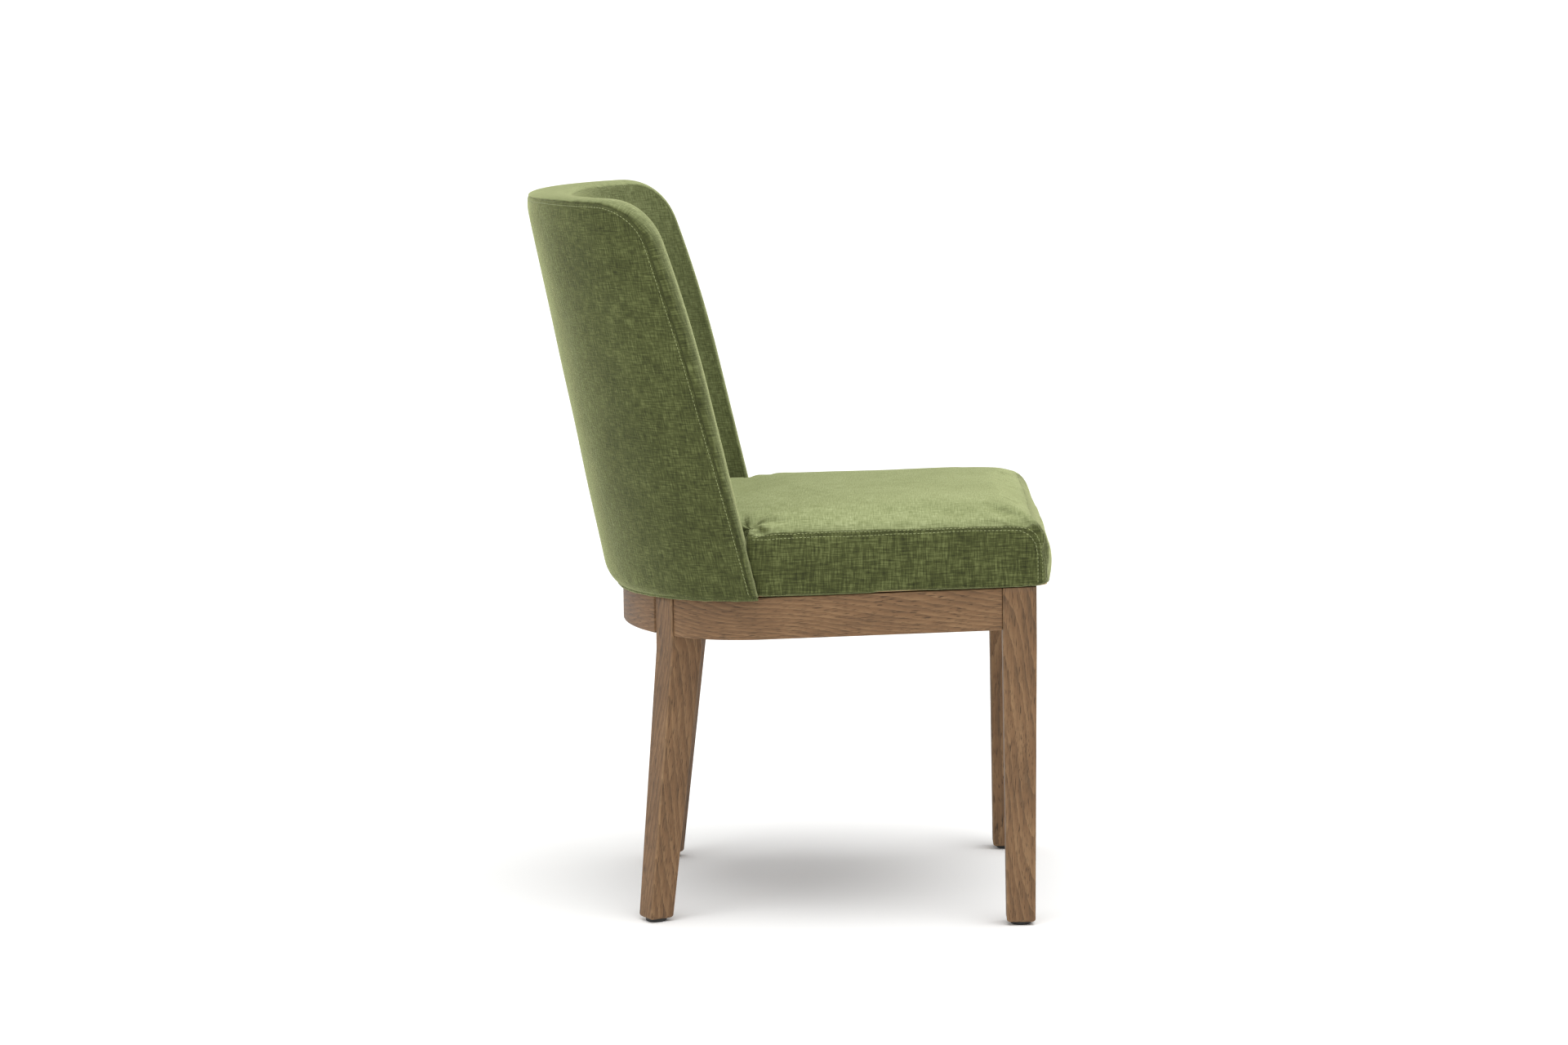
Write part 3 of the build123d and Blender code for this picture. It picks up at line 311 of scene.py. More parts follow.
def free_edge(step):
    """The wing's edge and the top as (sigma, z) at even steps, from the right foot to the left foot.

    In side view: a straight leaning line, a long bend, the top corner arc, then level along the top.
    Also gives how far along the right wing's edge each point is, from 0 at the foot to 1 at the top.
    """
    foot_z = deck(EDGE_FOOT_Y) + 1 * MM
    bend_y = EDGE_FOOT_Y + (EDGE_BEND_Z - DECK_Z) * math.tan(EDGE_LEAN)
    centre_y = bend_y + EDGE_BEND_RADIUS * math.cos(EDGE_LEAN)
    centre_z = EDGE_BEND_Z - EDGE_BEND_RADIUS * math.sin(EDGE_LEAN)
    rise = HEIGHT - TOP_CORNER_RADIUS - centre_z
    corner_y = centre_y - math.sqrt((EDGE_BEND_RADIUS - TOP_CORNER_RADIUS) ** 2 - rise**2)
    meet = math.atan2(rise, centre_y - corner_y)
    straight = (EDGE_BEND_Z - foot_z) / math.cos(EDGE_LEAN)
    bend = EDGE_BEND_RADIUS * (meet - EDGE_LEAN)
    corner = TOP_CORNER_RADIUS * (math.pi / 2 - meet)
    length = straight + bend + corner
    run = np.linspace(0, length, int(length / step))
    bend_angle = EDGE_LEAN + (run - straight) / EDGE_BEND_RADIUS
    corner_angle = meet + (run - straight - bend) / TOP_CORNER_RADIUS
    on_line, on_bend = run < straight, run < straight + bend
    y = np.select([on_line, on_bend], [
        bend_y - (straight - run) * math.sin(EDGE_LEAN),
        centre_y - EDGE_BEND_RADIUS * np.cos(bend_angle),
    ], corner_y - TOP_CORNER_RADIUS * np.cos(corner_angle))
    z = np.select([on_line, on_bend], [
        EDGE_BEND_Z - (straight - run) * math.cos(EDGE_LEAN),
        centre_z + EDGE_BEND_RADIUS * np.sin(bend_angle),
    ], HEIGHT - TOP_CORNER_RADIUS + TOP_CORNER_RADIUS * np.sin(corner_angle))
    sigma = station(y - RAKE * (z - DECK_Z))
    top = np.linspace(sigma[-1], 0, int(sigma[-1] / step) + 1)[1:]
    sigma = np.concatenate([sigma, top])
    z = np.concatenate([z, np.full(len(top), HEIGHT)])
    share = np.concatenate([run / length, np.ones(len(top))])
    return (np.concatenate([sigma, -sigma[-2::-1]]), np.concatenate([z, z[-2::-1]]),
            np.concatenate([share, share[-2::-1]]))


def seam_line(sigma, z, share, top, wing):
    """The free edge moved in, square to itself, by a setback that is widest high on the wing.

    Setback = top + (wing - top) * sin(pi * share^1.6).
    """
    along = unit(np.stack([np.gradient(sigma), np.gradient(z)], 1))
    inward = np.stack([-along[:, 1], along[:, 0]], 1)
    setback = top + (wing - top) * np.sin(np.pi * share**1.6)
    return setback, inward, sigma + setback * inward[:, 0], z + setback * inward[:, 1]


def distance_to(sigma, z, line_sigma, line_z):
    """Distance in the back's unrolled plane from every point to a polyline's points."""
    flat = np.stack([sigma.ravel(), z.ravel()], 1)
    line = np.stack([line_sigma, line_z], 1)
    gaps = [np.sqrt(((part[:, None] - line[None]) ** 2).sum(-1)).min(1) for part in np.array_split(flat, 40)]
    return np.concatenate(gaps).reshape(sigma.shape)


def groove(distance, depth, width):
    """A seam's valley, or any bell-shaped fade: depth * exp(-(distance / width)^2)."""
    return depth * np.exp(-((distance / width) ** 2))


def ripple(u, v, size):
    """Slow unevenness of stretched cloth: a sum of three crossed sines."""
    return size * (np.sin(21 * u + 9 * v) * np.cos(13 * v - 4 * u) + 0.5 * np.sin(37 * u - 31 * v + 1.3)
                   + 0.35 * np.sin(63 * u + 47 * v + 0.7)) / 1.85


def top_middle(sigma):
    """How much the top leans in: all of it across the rear, fading out over 100 mm towards the wings."""
    return smooth((TOP_MIDDLE - np.abs(sigma)) / 0.1)


def hem_middle(sigma):
    """1 at the middle of the back's lower edge, fading to 0 at the wings."""
    return 1 - smooth(np.abs(sigma) / HEM_MIDDLE)


def hem_height(sigma):
    """Height of the back's lower edge: it hangs just over the rails, a little lower in the middle."""
    foot = tub(sigma, np.full_like(sigma, DECK_Z), np.zeros_like(sigma))
    drop = 1 * MM + 4 * MM * hem_middle(sigma)
    return deck(foot[..., 1]) - drop


def back_upholstery(settings):
    """The padded back as one closed form.

    Every column of the grid is a section through the back, from under the shell, up the outside to the
    outer seam, over the rounded edge, down the inside and back under. Columns follow the free edge.
    """
    sigma_e, z_e, share = free_edge(4.5 * MM)
    setback, inward, sigma_s, z_s = seam_line(sigma_e, z_e, share, settings.seam_top, settings.seam_wing)
    back_in, _, sigma_i, z_i = seam_line(sigma_e, z_e, share, 7 * MM, 9 * MM)
    hem = np.minimum(hem_height(sigma_s), z_s - 0.5 * MM)
    thick = thickness(sigma_e)
    middle = hem_middle(sigma_s)
    under_depth = np.minimum(5 * MM + 13 * MM * middle, 14 * MM + 4 * MM * middle)
    under_rise = np.minimum(6 * MM + 22 * MM * middle, 0.9 * (z_s - hem) + 0.2 * MM)
    floor_z = np.minimum(hem + BOARD_TOP + 4 * MM, hem + 0.8 * (z_i - hem))

    def outside(t):
        """Outer panel: t from the hem to the seam; the lower edge turns under on a quarter ellipse."""
        up = (1 - np.cos(np.pi * t[:, None])) / 2
        z = hem + (z_s - hem) * up
        sigma = sigma_s + 0 * z
        bite = np.clip(1 - (z - hem) / under_rise, 0, 1)
        depth = under_depth * (1 - np.sqrt(1 - bite**2))
        gap = distance_to(sigma, z, sigma_s, z_s)
        depth = depth + groove(gap, settings.seam_depth, 1.3 * MM)
        depth = depth + groove(gap - settings.topstitch, 0.35 * MM, 1.2 * MM)
        level = smooth((z - hem) / (30 * MM)) * smooth(gap / (30 * MM))
        depth = depth + ripple(sigma, z, 0.7 * MM) * level
        near_top = groove(HEIGHT - z, 1, TOP_LEAN_REACH) * top_middle(sigma)
        depth = depth + TOP_LEAN * near_top
        return sigma, z, depth, np.stack([sigma, z * 1.02, 0 * z], -1), gap

    def over(t):
        """Edge band: a superellipse from the outer seam over the nose to the inner seam."""
        angle = np.pi * t[:, None]
        power = 2 / settings.nose_power
        round_c = np.sign(np.cos(angle)) * np.abs(np.cos(angle)) ** power
        round_s = np.abs(np.sin(angle)) ** power
        depth = thick / 2 * (1 - round_c)
        back = np.where(angle < np.pi / 2, setback, back_in) * (1 - round_s)
        across = np.minimum(np.hypot(depth, setback - back), np.hypot(thick - depth, back_in - back))
        inner = depth > thick / 2
        valley = groove(across, settings.seam_depth * np.where(inner, 0.3, 1), 1.5 * MM)
        near_top = top_middle(sigma_e) * np.where(inner, 0, 1)
        lean_in = TOP_LEAN * near_top * groove(back, 1, TOP_LEAN_REACH) * (1 - depth / thick) ** 2
        depth = depth + np.where(inner, -valley, valley) + lean_in
        sigma = sigma_e + back * inward[:, 0]
        z = z_e + back * inward[:, 1]
        length = np.concatenate([[0], np.cumsum(np.hypot(np.diff(sigma_e), np.diff(z_e)))])
        cloth = np.stack([depth + 0.3, length + 0 * z, 0 * z], -1)
        return sigma, z, depth, cloth, across + np.where(inner, 3 * MM, 0)

    def inside(t):
        """Inner panel: t from the inner seam down to the board, gently crowned towards the sitter."""
        down = (1 - np.cos(np.pi * t[:, None])) / 2
        z = z_i + (floor_z - z_i) * down
        sigma = sigma_i + 0 * z
        gap = distance_to(sigma, z, sigma_i, z_i)
        crown = settings.back_crown * smooth(gap / (70 * MM))
        depth = thickness(sigma) + crown - groove(gap, 0.3 * settings.seam_depth, 1.3 * MM)
        depth = depth - ripple(sigma + 0.2, z, 0.8 * MM) * smooth(gap / (30 * MM))
        return sigma, z, depth, np.stack([sigma + 0.7, z * 1.02, 0 * z], -1), gap + 3 * MM

    def below(t):
        """Underside: in from the sitter's side, down beside the board's edge and out to the lower edge."""
        stops = np.array([0.0, 0.45, 0.55, 1.0])
        depth = np.stack([np.interp(t, stops, [b, 17 * MM, 15 * MM, a])
                          for a, b in zip(under_depth, thick)], 1)
        z = np.stack([np.interp(t, stops, [b, b, a, a]) for a, b in zip(hem, floor_z)], 1)
        sigma = sigma_s + 0 * z
        return sigma, z, depth, np.stack([sigma, depth, 0 * z], -1), 0 * z + 1

    parts = [outside(np.linspace(0, 1, 64)), over(np.linspace(0, 1, 34)[1:-1]),
             inside(np.linspace(0, 1, 56)), below(np.linspace(0, 1, 12)[1:-1])]
    sigma, z, depth, cloth, gap = [np.concatenate(values) for values in zip(*parts)]
    grid = tub(sigma, z, depth).transpose(1, 0, 2)
    points, faces = capped_tube(grid)
    # The seam attribute is a painted shade mask: the fabric is coloured darker along the seams; the inner
    # seam's distance is raised by 3 mm so it gets less painted shade, and the underside gets none.
    piece = build("back_upholstery", points, faces, weave=tube_values(cloth.transpose(1, 0, 2)),
                  seam=tube_values(np.exp(-((gap / (1.6 * MM)) ** 2)).T))
    # Painted light: faces that look up, forward or towards the sitter are coloured paler, a painted highlight
    # standing in for how the light falls.
    facing = normals_of(piece.data)
    forward = smooth((-0.2 - facing[:, 1]) / 0.6)
    inner_face_painted_light = smooth(-facing[:, 0] * np.sign(read_points(piece.data)[:, 0]) / 0.4)
    paint_light_by_facing(piece, 0.02, 0.6, 0.12, 0.8, 0.14 * forward + 0.2 * inner_face_painted_light)
    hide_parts("back_cover_outer", "back_cover_inner", "back_edge_band", "back_foam_inner",
                "back_wadding_outer")
    return piece


def back_run(settings, inset, depth):
    """A path at an inset inside the outer seam, on the outer panel, with its outward normals."""
    sigma_e, z_e, share = free_edge(3 * MM)
    setback, inward, _, _ = seam_line(sigma_e, z_e, share, settings.seam_top, settings.seam_wing)
    sigma = sigma_e + (setback + inset) * inward[:, 0]
    z = z_e + (setback + inset) * inward[:, 1]
    near_top = top_middle(sigma) * groove(HEIGHT - z, 1, TOP_LEAN_REACH)
    depth = depth + TOP_LEAN * near_top
    keep = z > hem_height(sigma) + 3 * MM
    path = tub(sigma, z, depth)
    outward = unit(tub(sigma, z, depth - 1 * MM) - path)
    return path[keep], outward[keep]


def back_hem(settings):
    """Folded hem along the back's lower edge: a thin roll carried round the tub."""
    sigma_foot = float(station(EDGE_FOOT_Y))
    sigma = np.linspace(sigma_foot, -sigma_foot, 260)
    z = hem_height(sigma) + 0.6 * MM
    centre = tub(sigma, z, 3.0 * MM + 9 * MM * hem_middle(sigma))
    outward = unit(tub(sigma, z, 0 * sigma) - tub(sigma, z, 0 * sigma + 5 * MM))
    turn = np.linspace(0, 2 * np.pi, 10, endpoint=False)
    radius = settings.hem_radius * (1 + 0.12 * np.sin(sigma * 130) + 0.08 * np.sin(sigma * 310 + 1))
    ring = (np.cos(turn)[None, :, None] * outward[:, None, :]
            + np.sin(turn)[None, :, None] * np.array([0, 0, 1.0]))
    grid = centre[:, None, :] + radius[:, None, None] * ring
    points, faces = capped_tube(grid)
    cloth = np.stack([np.broadcast_to(sigma[:, None], grid.shape[:2]), grid[..., 2], 0 * grid[..., 2]], -1)
    # The hem's colour gets a small, even lift of painted light.
    piece = build("back_hem", points, faces, weave=tube_values(cloth), seam=np.zeros(len(points)),
                  nap=np.full(len(points), 0.12))
    return piece


# ---------------------------------------------------------------- seat cushion
SEAT_SIDE = 75 * MM
SEAT_NOTCH_Y = EDGE_FOOT_Y - 2 * MM
SITTER_HALF = SHELL_HALF - WING_THICK
SIDE_ROLL = 22 * MM          # height of the soft shoulder along the sides
FRONT_ROLL = 48 * MM         # the same over the front
FRONT_ROLL_DEPTH = 30 * MM   # and how far back from the front it reaches
CUSHION_FRONT = SEAT_FRONT + 4 * MM
CUSHION_HALF = SEAT_HALF - 2 * MM
CUSHION_CORNER = 20 * MM
CUSHION_GAP = 1.5 * MM       # between cushion and back, before it swells
CUSHION_LOW = 0.4 * MM       # underside above the deck
CUSHION_CENTRE = np.array([0, -90 * MM])
FRONT_SEAM = SEAT_FRONT + 14 * MM
SEAM_TURN = 36 * MM          # radius where the side seam turns down


def corner_run(centre, radius, start, end, count):
    """Points of an arc from one angle to another, in degrees."""
    angle = np.radians(np.linspace(start, end, count))
    return np.stack([centre[0] + radius * np.cos(angle), centre[1] + radius * np.sin(angle)], 1)


def cushion_outline(count):
    """The cushion in plan, right half then mirrored: front, corner, side, step at the wing, tub inside."""
    front, half, radius = CUSHION_FRONT, CUSHION_HALF, CUSHION_CORNER
    inner = SITTER_HALF - CUSHION_GAP
    step = SEAT_NOTCH_Y + 4 * MM
    sigma = np.linspace(float(station(step + 12 * MM)), 0, 60)
    tub_line = tub(sigma, np.full_like(sigma, DECK_Z), thickness(sigma) + CUSHION_GAP)[:, :2]
    right = np.vstack([
        [[0, front]],
        corner_run((half - radius, front + radius), radius, -90, 0, 8),
        corner_run((half - 2 * MM, step - 2 * MM), 2 * MM, 0, 90, 4),
        corner_run((inner + 8 * MM, step + 8 * MM), 8 * MM, 270, 180, 6),
        tub_line,
    ])
    left = right[-2:0:-1] * [-1, 1]
    loop = np.vstack([right, left, right[:1]])
    length = np.concatenate([[0], np.cumsum(np.linalg.norm(np.diff(loop, axis=0), axis=1))])
    places = np.linspace(0, length[-1], count, endpoint=False)
    return np.stack([np.interp(places, length, loop[:, i]) for i in range(2)], 1)


def edge_drop(gap, width, height):
    """How far a rounded edge has fallen a gap inside its outline: a quarter ellipse."""
    inside = np.clip(1 - gap / width, 0, 1)
    return height * (1 - np.sqrt(1 - inside**2))


def seat_top(x, y, settings):
    """Height of the seat's top above the deck before its edges are rounded.

    Side height + shoulder + (crown - shoulder) * (1 - |x / half|^2.6) * along, where along falls
    towards the front and rises a little towards the rear.
    """
    across = 1 - np.abs(np.clip(x / SEAT_HALF, -1, 1)) ** 2.6
    along = 1 - 0.55 * smooth((-0.15 - y) / 0.16) + 0.2 * smooth((y + 0.08) / 0.15)
    rise = settings.seat_crown - settings.seat_shoulder
    return SEAT_SIDE + settings.seat_shoulder + rise * across * along


def seat_base(settings):
    """The cushion before it swells: rings from the underside's middle, out, up the side and over the top."""
    outline = cushion_outline(420)
    centre = CUSHION_CENTRE
    inward = unit(centre - outline)
    rim_front = smooth((-0.25 - outline[:, 1]) / 0.05)
    shoulder = SIDE_ROLL + (FRONT_ROLL - SIDE_ROLL) * rim_front
    rows = []
    for ring in np.linspace(0, 1, 14)[1:]:
        plan = centre + (outline - centre) * ring
        rows.append(np.column_stack([plan, deck(plan[:, 1]) + CUSHION_LOW]))
    rim_height = seat_top(outline[:, 0], outline[:, 1], settings) - shoulder
    for share in np.linspace(0, 1, 14)[1:]:
        rise = CUSHION_LOW + (rim_height - CUSHION_LOW) * share
        tuck = 0.5 * MM * (1 - rim_front[:, None]) * (1 - smooth(share * 2.2))
        plan = outline + inward * tuck
        rows.append(np.column_stack([plan, deck(plan[:, 1]) + rise]))
    for ring in 1 - np.linspace(0, 1, 44)[1:-1] ** 1.8:
        plan = centre + (outline - centre) * ring
        gap_front = plan[:, 1] - outline[:, 1].min()
        gap_side = (1 - ring) * np.linalg.norm(outline - centre, axis=1) * (1 - 0.35 * rim_front)
        fall = np.maximum(edge_drop(gap_front, FRONT_ROLL_DEPTH, FRONT_ROLL),
                          edge_drop(gap_side, SIDE_ROLL, SIDE_ROLL))
        top = deck(plan[:, 1]) + seat_top(plan[:, 0], plan[:, 1], settings)
        rows.append(np.column_stack([plan, top - fall]))
    grid = np.array(rows)
    grid[..., 1] += lean_share(grid) * (grid[..., 2] - DECK_Z)
    points, faces = capped_tube(grid)
    return build("seat_cushion", points, faces)


def lean_share(points):
    """How much the cushion follows the wings' lean: none at the front, all of it behind the wings' edge."""
    return 0.215 * smooth((points[..., 1] + 0.09) / 0.12)


def seat_seam():
    """The side panel's seam on the right as a path, from the wing to the front and down.

    Straight and level with the deck, then a quarter circle, then down to the lower edge.
    """
    front = FRONT_SEAM
    high = SEAT_SIDE - 1.0 * MM
    y = np.linspace(SEAT_NOTCH_Y + 8 * MM, front + SEAM_TURN, 90)
    side = np.stack([y, deck(y) + high], 1)
    angle = np.radians(np.linspace(90, 180, 24))[1:]
    turn_z = deck(front + SEAM_TURN) + high - SEAM_TURN
    arc = np.stack([front + SEAM_TURN + SEAM_TURN * np.cos(angle), turn_z + SEAM_TURN * np.sin(angle)], 1)
    drop = np.linspace(arc[-1, 1], deck(front) + 3 * MM, 20)[1:]
    down = np.stack([np.full_like(drop, front), drop], 1)
    line = np.vstack([side, arc, down])
    return np.column_stack([np.full(len(line), SEAT_HALF), line])


def near_line(points, line):
    """Distance from points to a polyline's points, both (n, 3)."""
    return np.concatenate([np.sqrt(((part[:, None] - line[None]) ** 2).sum(-1)).min(1)
                           for part in np.array_split(points, 60)])


def on_surface(tree, path):
    """A path laid on a mesh: the nearest point and its normal, for every point."""
    hits = [tree.find_nearest(Vector(point)) for point in path]
    return np.array([hit[0] for hit in hits]), np.array([hit[1] for hit in hits])


def swell(piece, pins, settings):
    """Blow the cushion up as cloth under pressure, its pinned points held, and cap how far it moves."""
    start = read_points(piece.data)
    group = piece.vertex_groups.new(name="pin")
    for weight in (1.0, 0.5):
        chosen = np.nonzero((pins > weight - 0.25) & (pins <= weight + 0.25))[0].tolist()
        group.add(chosen, weight, "REPLACE")
    cloth = piece.modifiers.new("Cloth", "CLOTH")
    cloth.settings.quality = 4
    cloth.settings.mass = 0.3
    cloth.settings.tension_stiffness = 12
    cloth.settings.compression_stiffness = 12
    cloth.settings.shear_stiffness = 6
    cloth.settings.bending_stiffness = 0.6
    cloth.settings.vertex_group_mass = "pin"
    cloth.settings.use_pressure = True
    cloth.settings.uniform_pressure_force = settings.seat_pressure
    cloth.settings.effector_weights.gravity = 0
    cloth.collision_settings.use_collision = False
    cloth.point_cache.frame_start = 1
    cloth.point_cache.frame_end = SIM_FRAMES
    for number in range(1, SIM_FRAMES + 1):
        bpy.context.scene.frame_set(number)
    applied(piece)
    bpy.context.scene.frame_set(1)
    piece.vertex_groups.clear()
    moved = read_points(piece.data) - start
    far = np.linalg.norm(moved, axis=1, keepdims=True)
    cap = 6 * MM
    write_points(piece.data, start + moved * cap * np.tanh(far / cap) / np.maximum(far, 1e-9))


def seat_cushion(settings):
    """The seat cushion: remeshed, blown up between its seams, then sewn and puckered beside the wings."""
    piece = seat_base(settings)
    remesh = piece.modifiers.new("Remesh", "REMESH")
    remesh.mode = "VOXEL"
    remesh.voxel_size = 5.2 * MM
    remesh.use_smooth_shade = True
    applied(piece)
    seams = np.vstack([seat_seam(), seat_seam() * [-1, 1, 1]])
    points = read_points(piece.data)
    low = points[:, 2] < deck(points[:, 1]) + 6 * MM
    sewn = near_line(points, seams) < 5 * MM
    behind = points[:, 1] > 0.05
    pins = np.where(low | sewn, 1.0, np.where(behind, 0.5, 0.0))
    swell(piece, pins, settings)
    seams, _ = on_surface(BVHTree.FromObject(piece, bpy.context.evaluated_depsgraph_get()), seams)
    finer = piece.modifiers.new("Subdivision", "SUBSURF")
    finer.levels = finer.render_levels = 1
    applied(piece)
    points, normals = read_points(piece.data), normals_of(piece.data)
    gap = near_line(points, seams)
    sink = groove(gap, settings.seam_depth * 1.3, 2.6 * MM) + pucker(points, settings)
    sink -= ripple(points[:, 0] + points[:, 2], points[:, 1], 0.8 * MM) * smooth(gap / (40 * MM))
    write_points(piece.data, points - normals * sink[:, None])
    up = np.abs(normals[:, 2]) > 0.72
    sideways = (np.abs(normals[:, 0]) > 0.6) & ~up
    flat = np.zeros(len(points))
    cloth = np.where(sideways[:, None], np.column_stack([points[:, 1], points[:, 2], flat + 0.5]),
                     np.column_stack([points[:, 0], np.where(up, points[:, 1], -points[:, 2]), flat]))
    put(piece.data, "weave", cloth)
    # The seam attribute is a painted shade mask: the fabric is coloured darker along the side seams.
    put(piece.data, "seam", np.exp(-((gap / (2.0 * MM)) ** 2)))
    # Painted light: the seat's faces that look up are coloured paler, a painted highlight on the top.
    paint_light_by_facing(piece, 0.0, 1.0, 0.6, 0.38)
    piece.data.polygons.foreach_set("use_smooth", np.ones(len(piece.data.polygons), bool))
    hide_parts("seat_cover_top", "seat_side_panel_left", "seat_side_panel_right", "seat_foam")
    return piece


def pucker(points, settings):
    """Gathers where the cushion dives behind each wing: a dimple with folds fanning out from it."""
    total = np.zeros(len(points))
    for side in (-1, 1):
        x = side * points[:, 0] - SITTER_HALF
        y = points[:, 1] - (SEAT_NOTCH_Y + RAKE * SEAT_SIDE)
        reach = np.hypot(x, y)
        above = smooth((points[:, 2] - deck(points[:, 1]) - 55 * MM) / (20 * MM))
        angle = np.arctan2(x, -y)
        total += above * settings.pucker_depth * np.exp(-((reach / (20 * MM)) ** 2))
        folds = np.cos(7 * angle) * np.exp(-((reach - 26 * MM) / (22 * MM)) ** 2)
        total += above * 0.16 * settings.pucker_depth * folds * (y < 10 * MM)
    return total


def seat_stitching(cushion, settings):
    """Two rows of topstitch, one each side of the side seams."""
    tree = BVHTree.FromObject(cushion, bpy.context.evaluated_depsgraph_get())
    runs = []
    for side in (-1, 1):
        seam = seat_seam()
        for shift in (-settings.topstitch * 0.9, settings.topstitch * 0.9):
            along = unit(np.gradient(seam, axis=0))
            out = np.stack([0 * along[:, 0], -along[:, 2], along[:, 1]], 1)
            line = (seam + out * shift) * [side, 1, 1]
            path, outward = on_surface(tree, line)
            runs.append((path + outward * 0.15 * MM, outward))
    piece = stitches("seat_topstitch", runs, STITCH_PITCH, STITCH_LENGTH, settings.thread)
    return piece


# ---------------------------------------------------------------- timber
def rounded_ring(width, depth, radius, per_corner=6):
    """A rounded rectangle as points (n, 2), anticlockwise, and how near each is to a corner's middle."""
    angle = np.linspace(0, np.pi / 2, per_corner)
    corners = [(1, 1, 0), (-1, 1, 1), (-1, -1, 2), (1, -1, 3)]
    ring, wear = [], []
    for sign_x, sign_y, quarter in corners:
        turned = angle + quarter * np.pi / 2
        ring.append(np.stack([sign_x * (width / 2 - radius) + radius * np.cos(turned),
                              sign_y * (depth / 2 - radius) + radius * np.sin(turned)], 1))
        wear.append(np.sin(2 * angle) * 0.5 + 0.5)
    return np.vstack(ring), np.concatenate(wear)


def timber_piece(name, grid, grain, wear, *nodes):
    """A timber piece from its grid, with the grain's own coordinates and the wear along its edges."""
    points, faces = capped_tube(grid)
    piece = build(name, points, faces, grain=tube_values(grain), wear=tube_values(wear))
    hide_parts(*nodes)
    return piece


def leg(name, node, top_at, foot_at, top, foot, turn, offset, settings):
    """A square tapered leg: straight through the rails, tapered and splayed below, its foot's edge rounded.

    Centre, size and height are linear between the foot and the knee; the top follows the deck's slope.
    """
    knee = deck(top_at[1]) - RAIL_HEIGHT - LEG_BLOCK
    round_angle = np.linspace(0, np.pi / 2, 6)
    low = GLIDE_HEIGHT + FOOT_ROUND * (1 - np.cos(round_angle))
    cut = FOOT_ROUND * (1 - np.sin(round_angle))
    body = np.linspace(low[-1], knee, 30)[1:]
    high = np.linspace(0, 1, 8)[1:]
    z = np.concatenate([low, body, knee + high * (deck(top_at[1]) - knee)])
    share = np.clip((z - low[0]) / (knee - low[0]), 0, 1)
    size = foot + (top - foot) * share
    size[:6] -= 2 * cut
    centre = np.array(foot_at) + (np.array(top_at) - np.array(foot_at)) * share[:, None]
    ring, wear = rounded_ring(1, 1, 0)[0], rounded_ring(1, 1, 0.1)[1]
    grid = np.empty((len(z), len(ring), 3))
    grain = np.empty_like(grid)
    for row, (width, middle, height) in enumerate(zip(size, centre, z)):
        local = rounded_ring(width, width, min(settings.leg_edge, width / 4))[0]
        grid[row, :, 0] = middle[0] + local[:, 0] * math.cos(turn) - local[:, 1] * math.sin(turn)
        grid[row, :, 1] = middle[1] + local[:, 0] * math.sin(turn) + local[:, 1] * math.cos(turn)
        grid[row, :, 2] = height
        grain[row] = np.column_stack([local, np.full(len(local), height)]) + offset
    rise = np.clip((grid[..., 2] - knee) / (deck(top_at[1]) - knee), 0, 1)
    grid[..., 2] += rise * (deck(grid[..., 1]) - deck(top_at[1]) - DECK_GAP)
    wears = np.broadcast_to(wear, grid.shape[:2]).copy()
    wears[:5] = np.maximum(wears[:5], 0.8)
    return timber_piece(name, grid, grain, wears, node)


def rear_leg_centre():
    """Plan centre of the right rear leg's top, its rear face on the rail's rear arc."""
    radius, centre_y, join = rear_arc(RAIL_HALF, RAIL_RADIUS, RAIL_APEX)
    place = join - REAR_LEG_SHIFT / radius
    reach = radius - REAR_LEG_TOP / 2
    return np.array([reach * math.sin(place), centre_y + reach * math.cos(place)])


def bar(name, node, plan_of, length, offset, settings, side=1):
    """A rail: a rounded rectangle carried along plan_of(t, inset), with its top in the deck plane.

    plan_of gives the plan point at share t of the rail, an inset in from the rail's outer face.
    """
    ring, wear = rounded_ring(RAIL_THICK, RAIL_HEIGHT, settings.rail_edge)
    ends = np.array([0, 0.0012, 0.004])
    t = np.concatenate([ends, np.linspace(0.01, 0.99, 90), 1 - ends[::-1]])
    pinch = np.interp(np.minimum(t, 1 - t), ends, [0.96, 0.993, 1.0])
    inset = RAIL_THICK / 2 - ring[None, :, 0] * pinch[:, None]
    drop = RAIL_HEIGHT / 2 - ring[None, :, 1] * pinch[:, None]
    plan = plan_of(t[:, None], inset)
    grid = np.stack([side * plan[..., 0], plan[..., 1], deck(plan[..., 1]) - drop - DECK_GAP], -1)
    if side > 0:
        grid, inset, drop, wear = grid[:, ::-1], inset[:, ::-1], drop[:, ::-1], wear[::-1]
    grain = np.stack([drop, inset, t[:, None] * length + 0 * drop], -1) + offset
    return timber_piece(name, grid, grain, np.broadcast_to(wear, grid.shape[:2]).copy(), node)


def side_rail_plan(t, inset):
    """Plan of the right side rail: straight, then the corner arc, ending on the rear leg's face."""
    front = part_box("front_leg_right")[1][1]
    straight = CORNER_Y - front
    centre = np.array([RAIL_HALF - RAIL_RADIUS, CORNER_Y])
    face = np.array([math.cos(REAR_LEG_TURN), -math.sin(REAR_LEG_TURN)])
    on_face = rear_leg_centre() + face * (REAR_LEG_TOP / 2 + JOINT_GAP)
    radius = RAIL_RADIUS - inset
    end = np.arccos(((on_face - centre) @ face) / radius) - REAR_LEG_TURN
    share = straight / (straight + RAIL_RADIUS * 0.85)
    angle = np.clip((t - share) / (1 - share), 0, 1) * end
    x = centre[0] + radius * np.cos(angle)
    before_turn = front + JOINT_GAP + (straight - JOINT_GAP) * t / share
    y = np.where(t < share, before_turn, CORNER_Y + radius * np.sin(angle))
    return np.stack([x, y], -1)


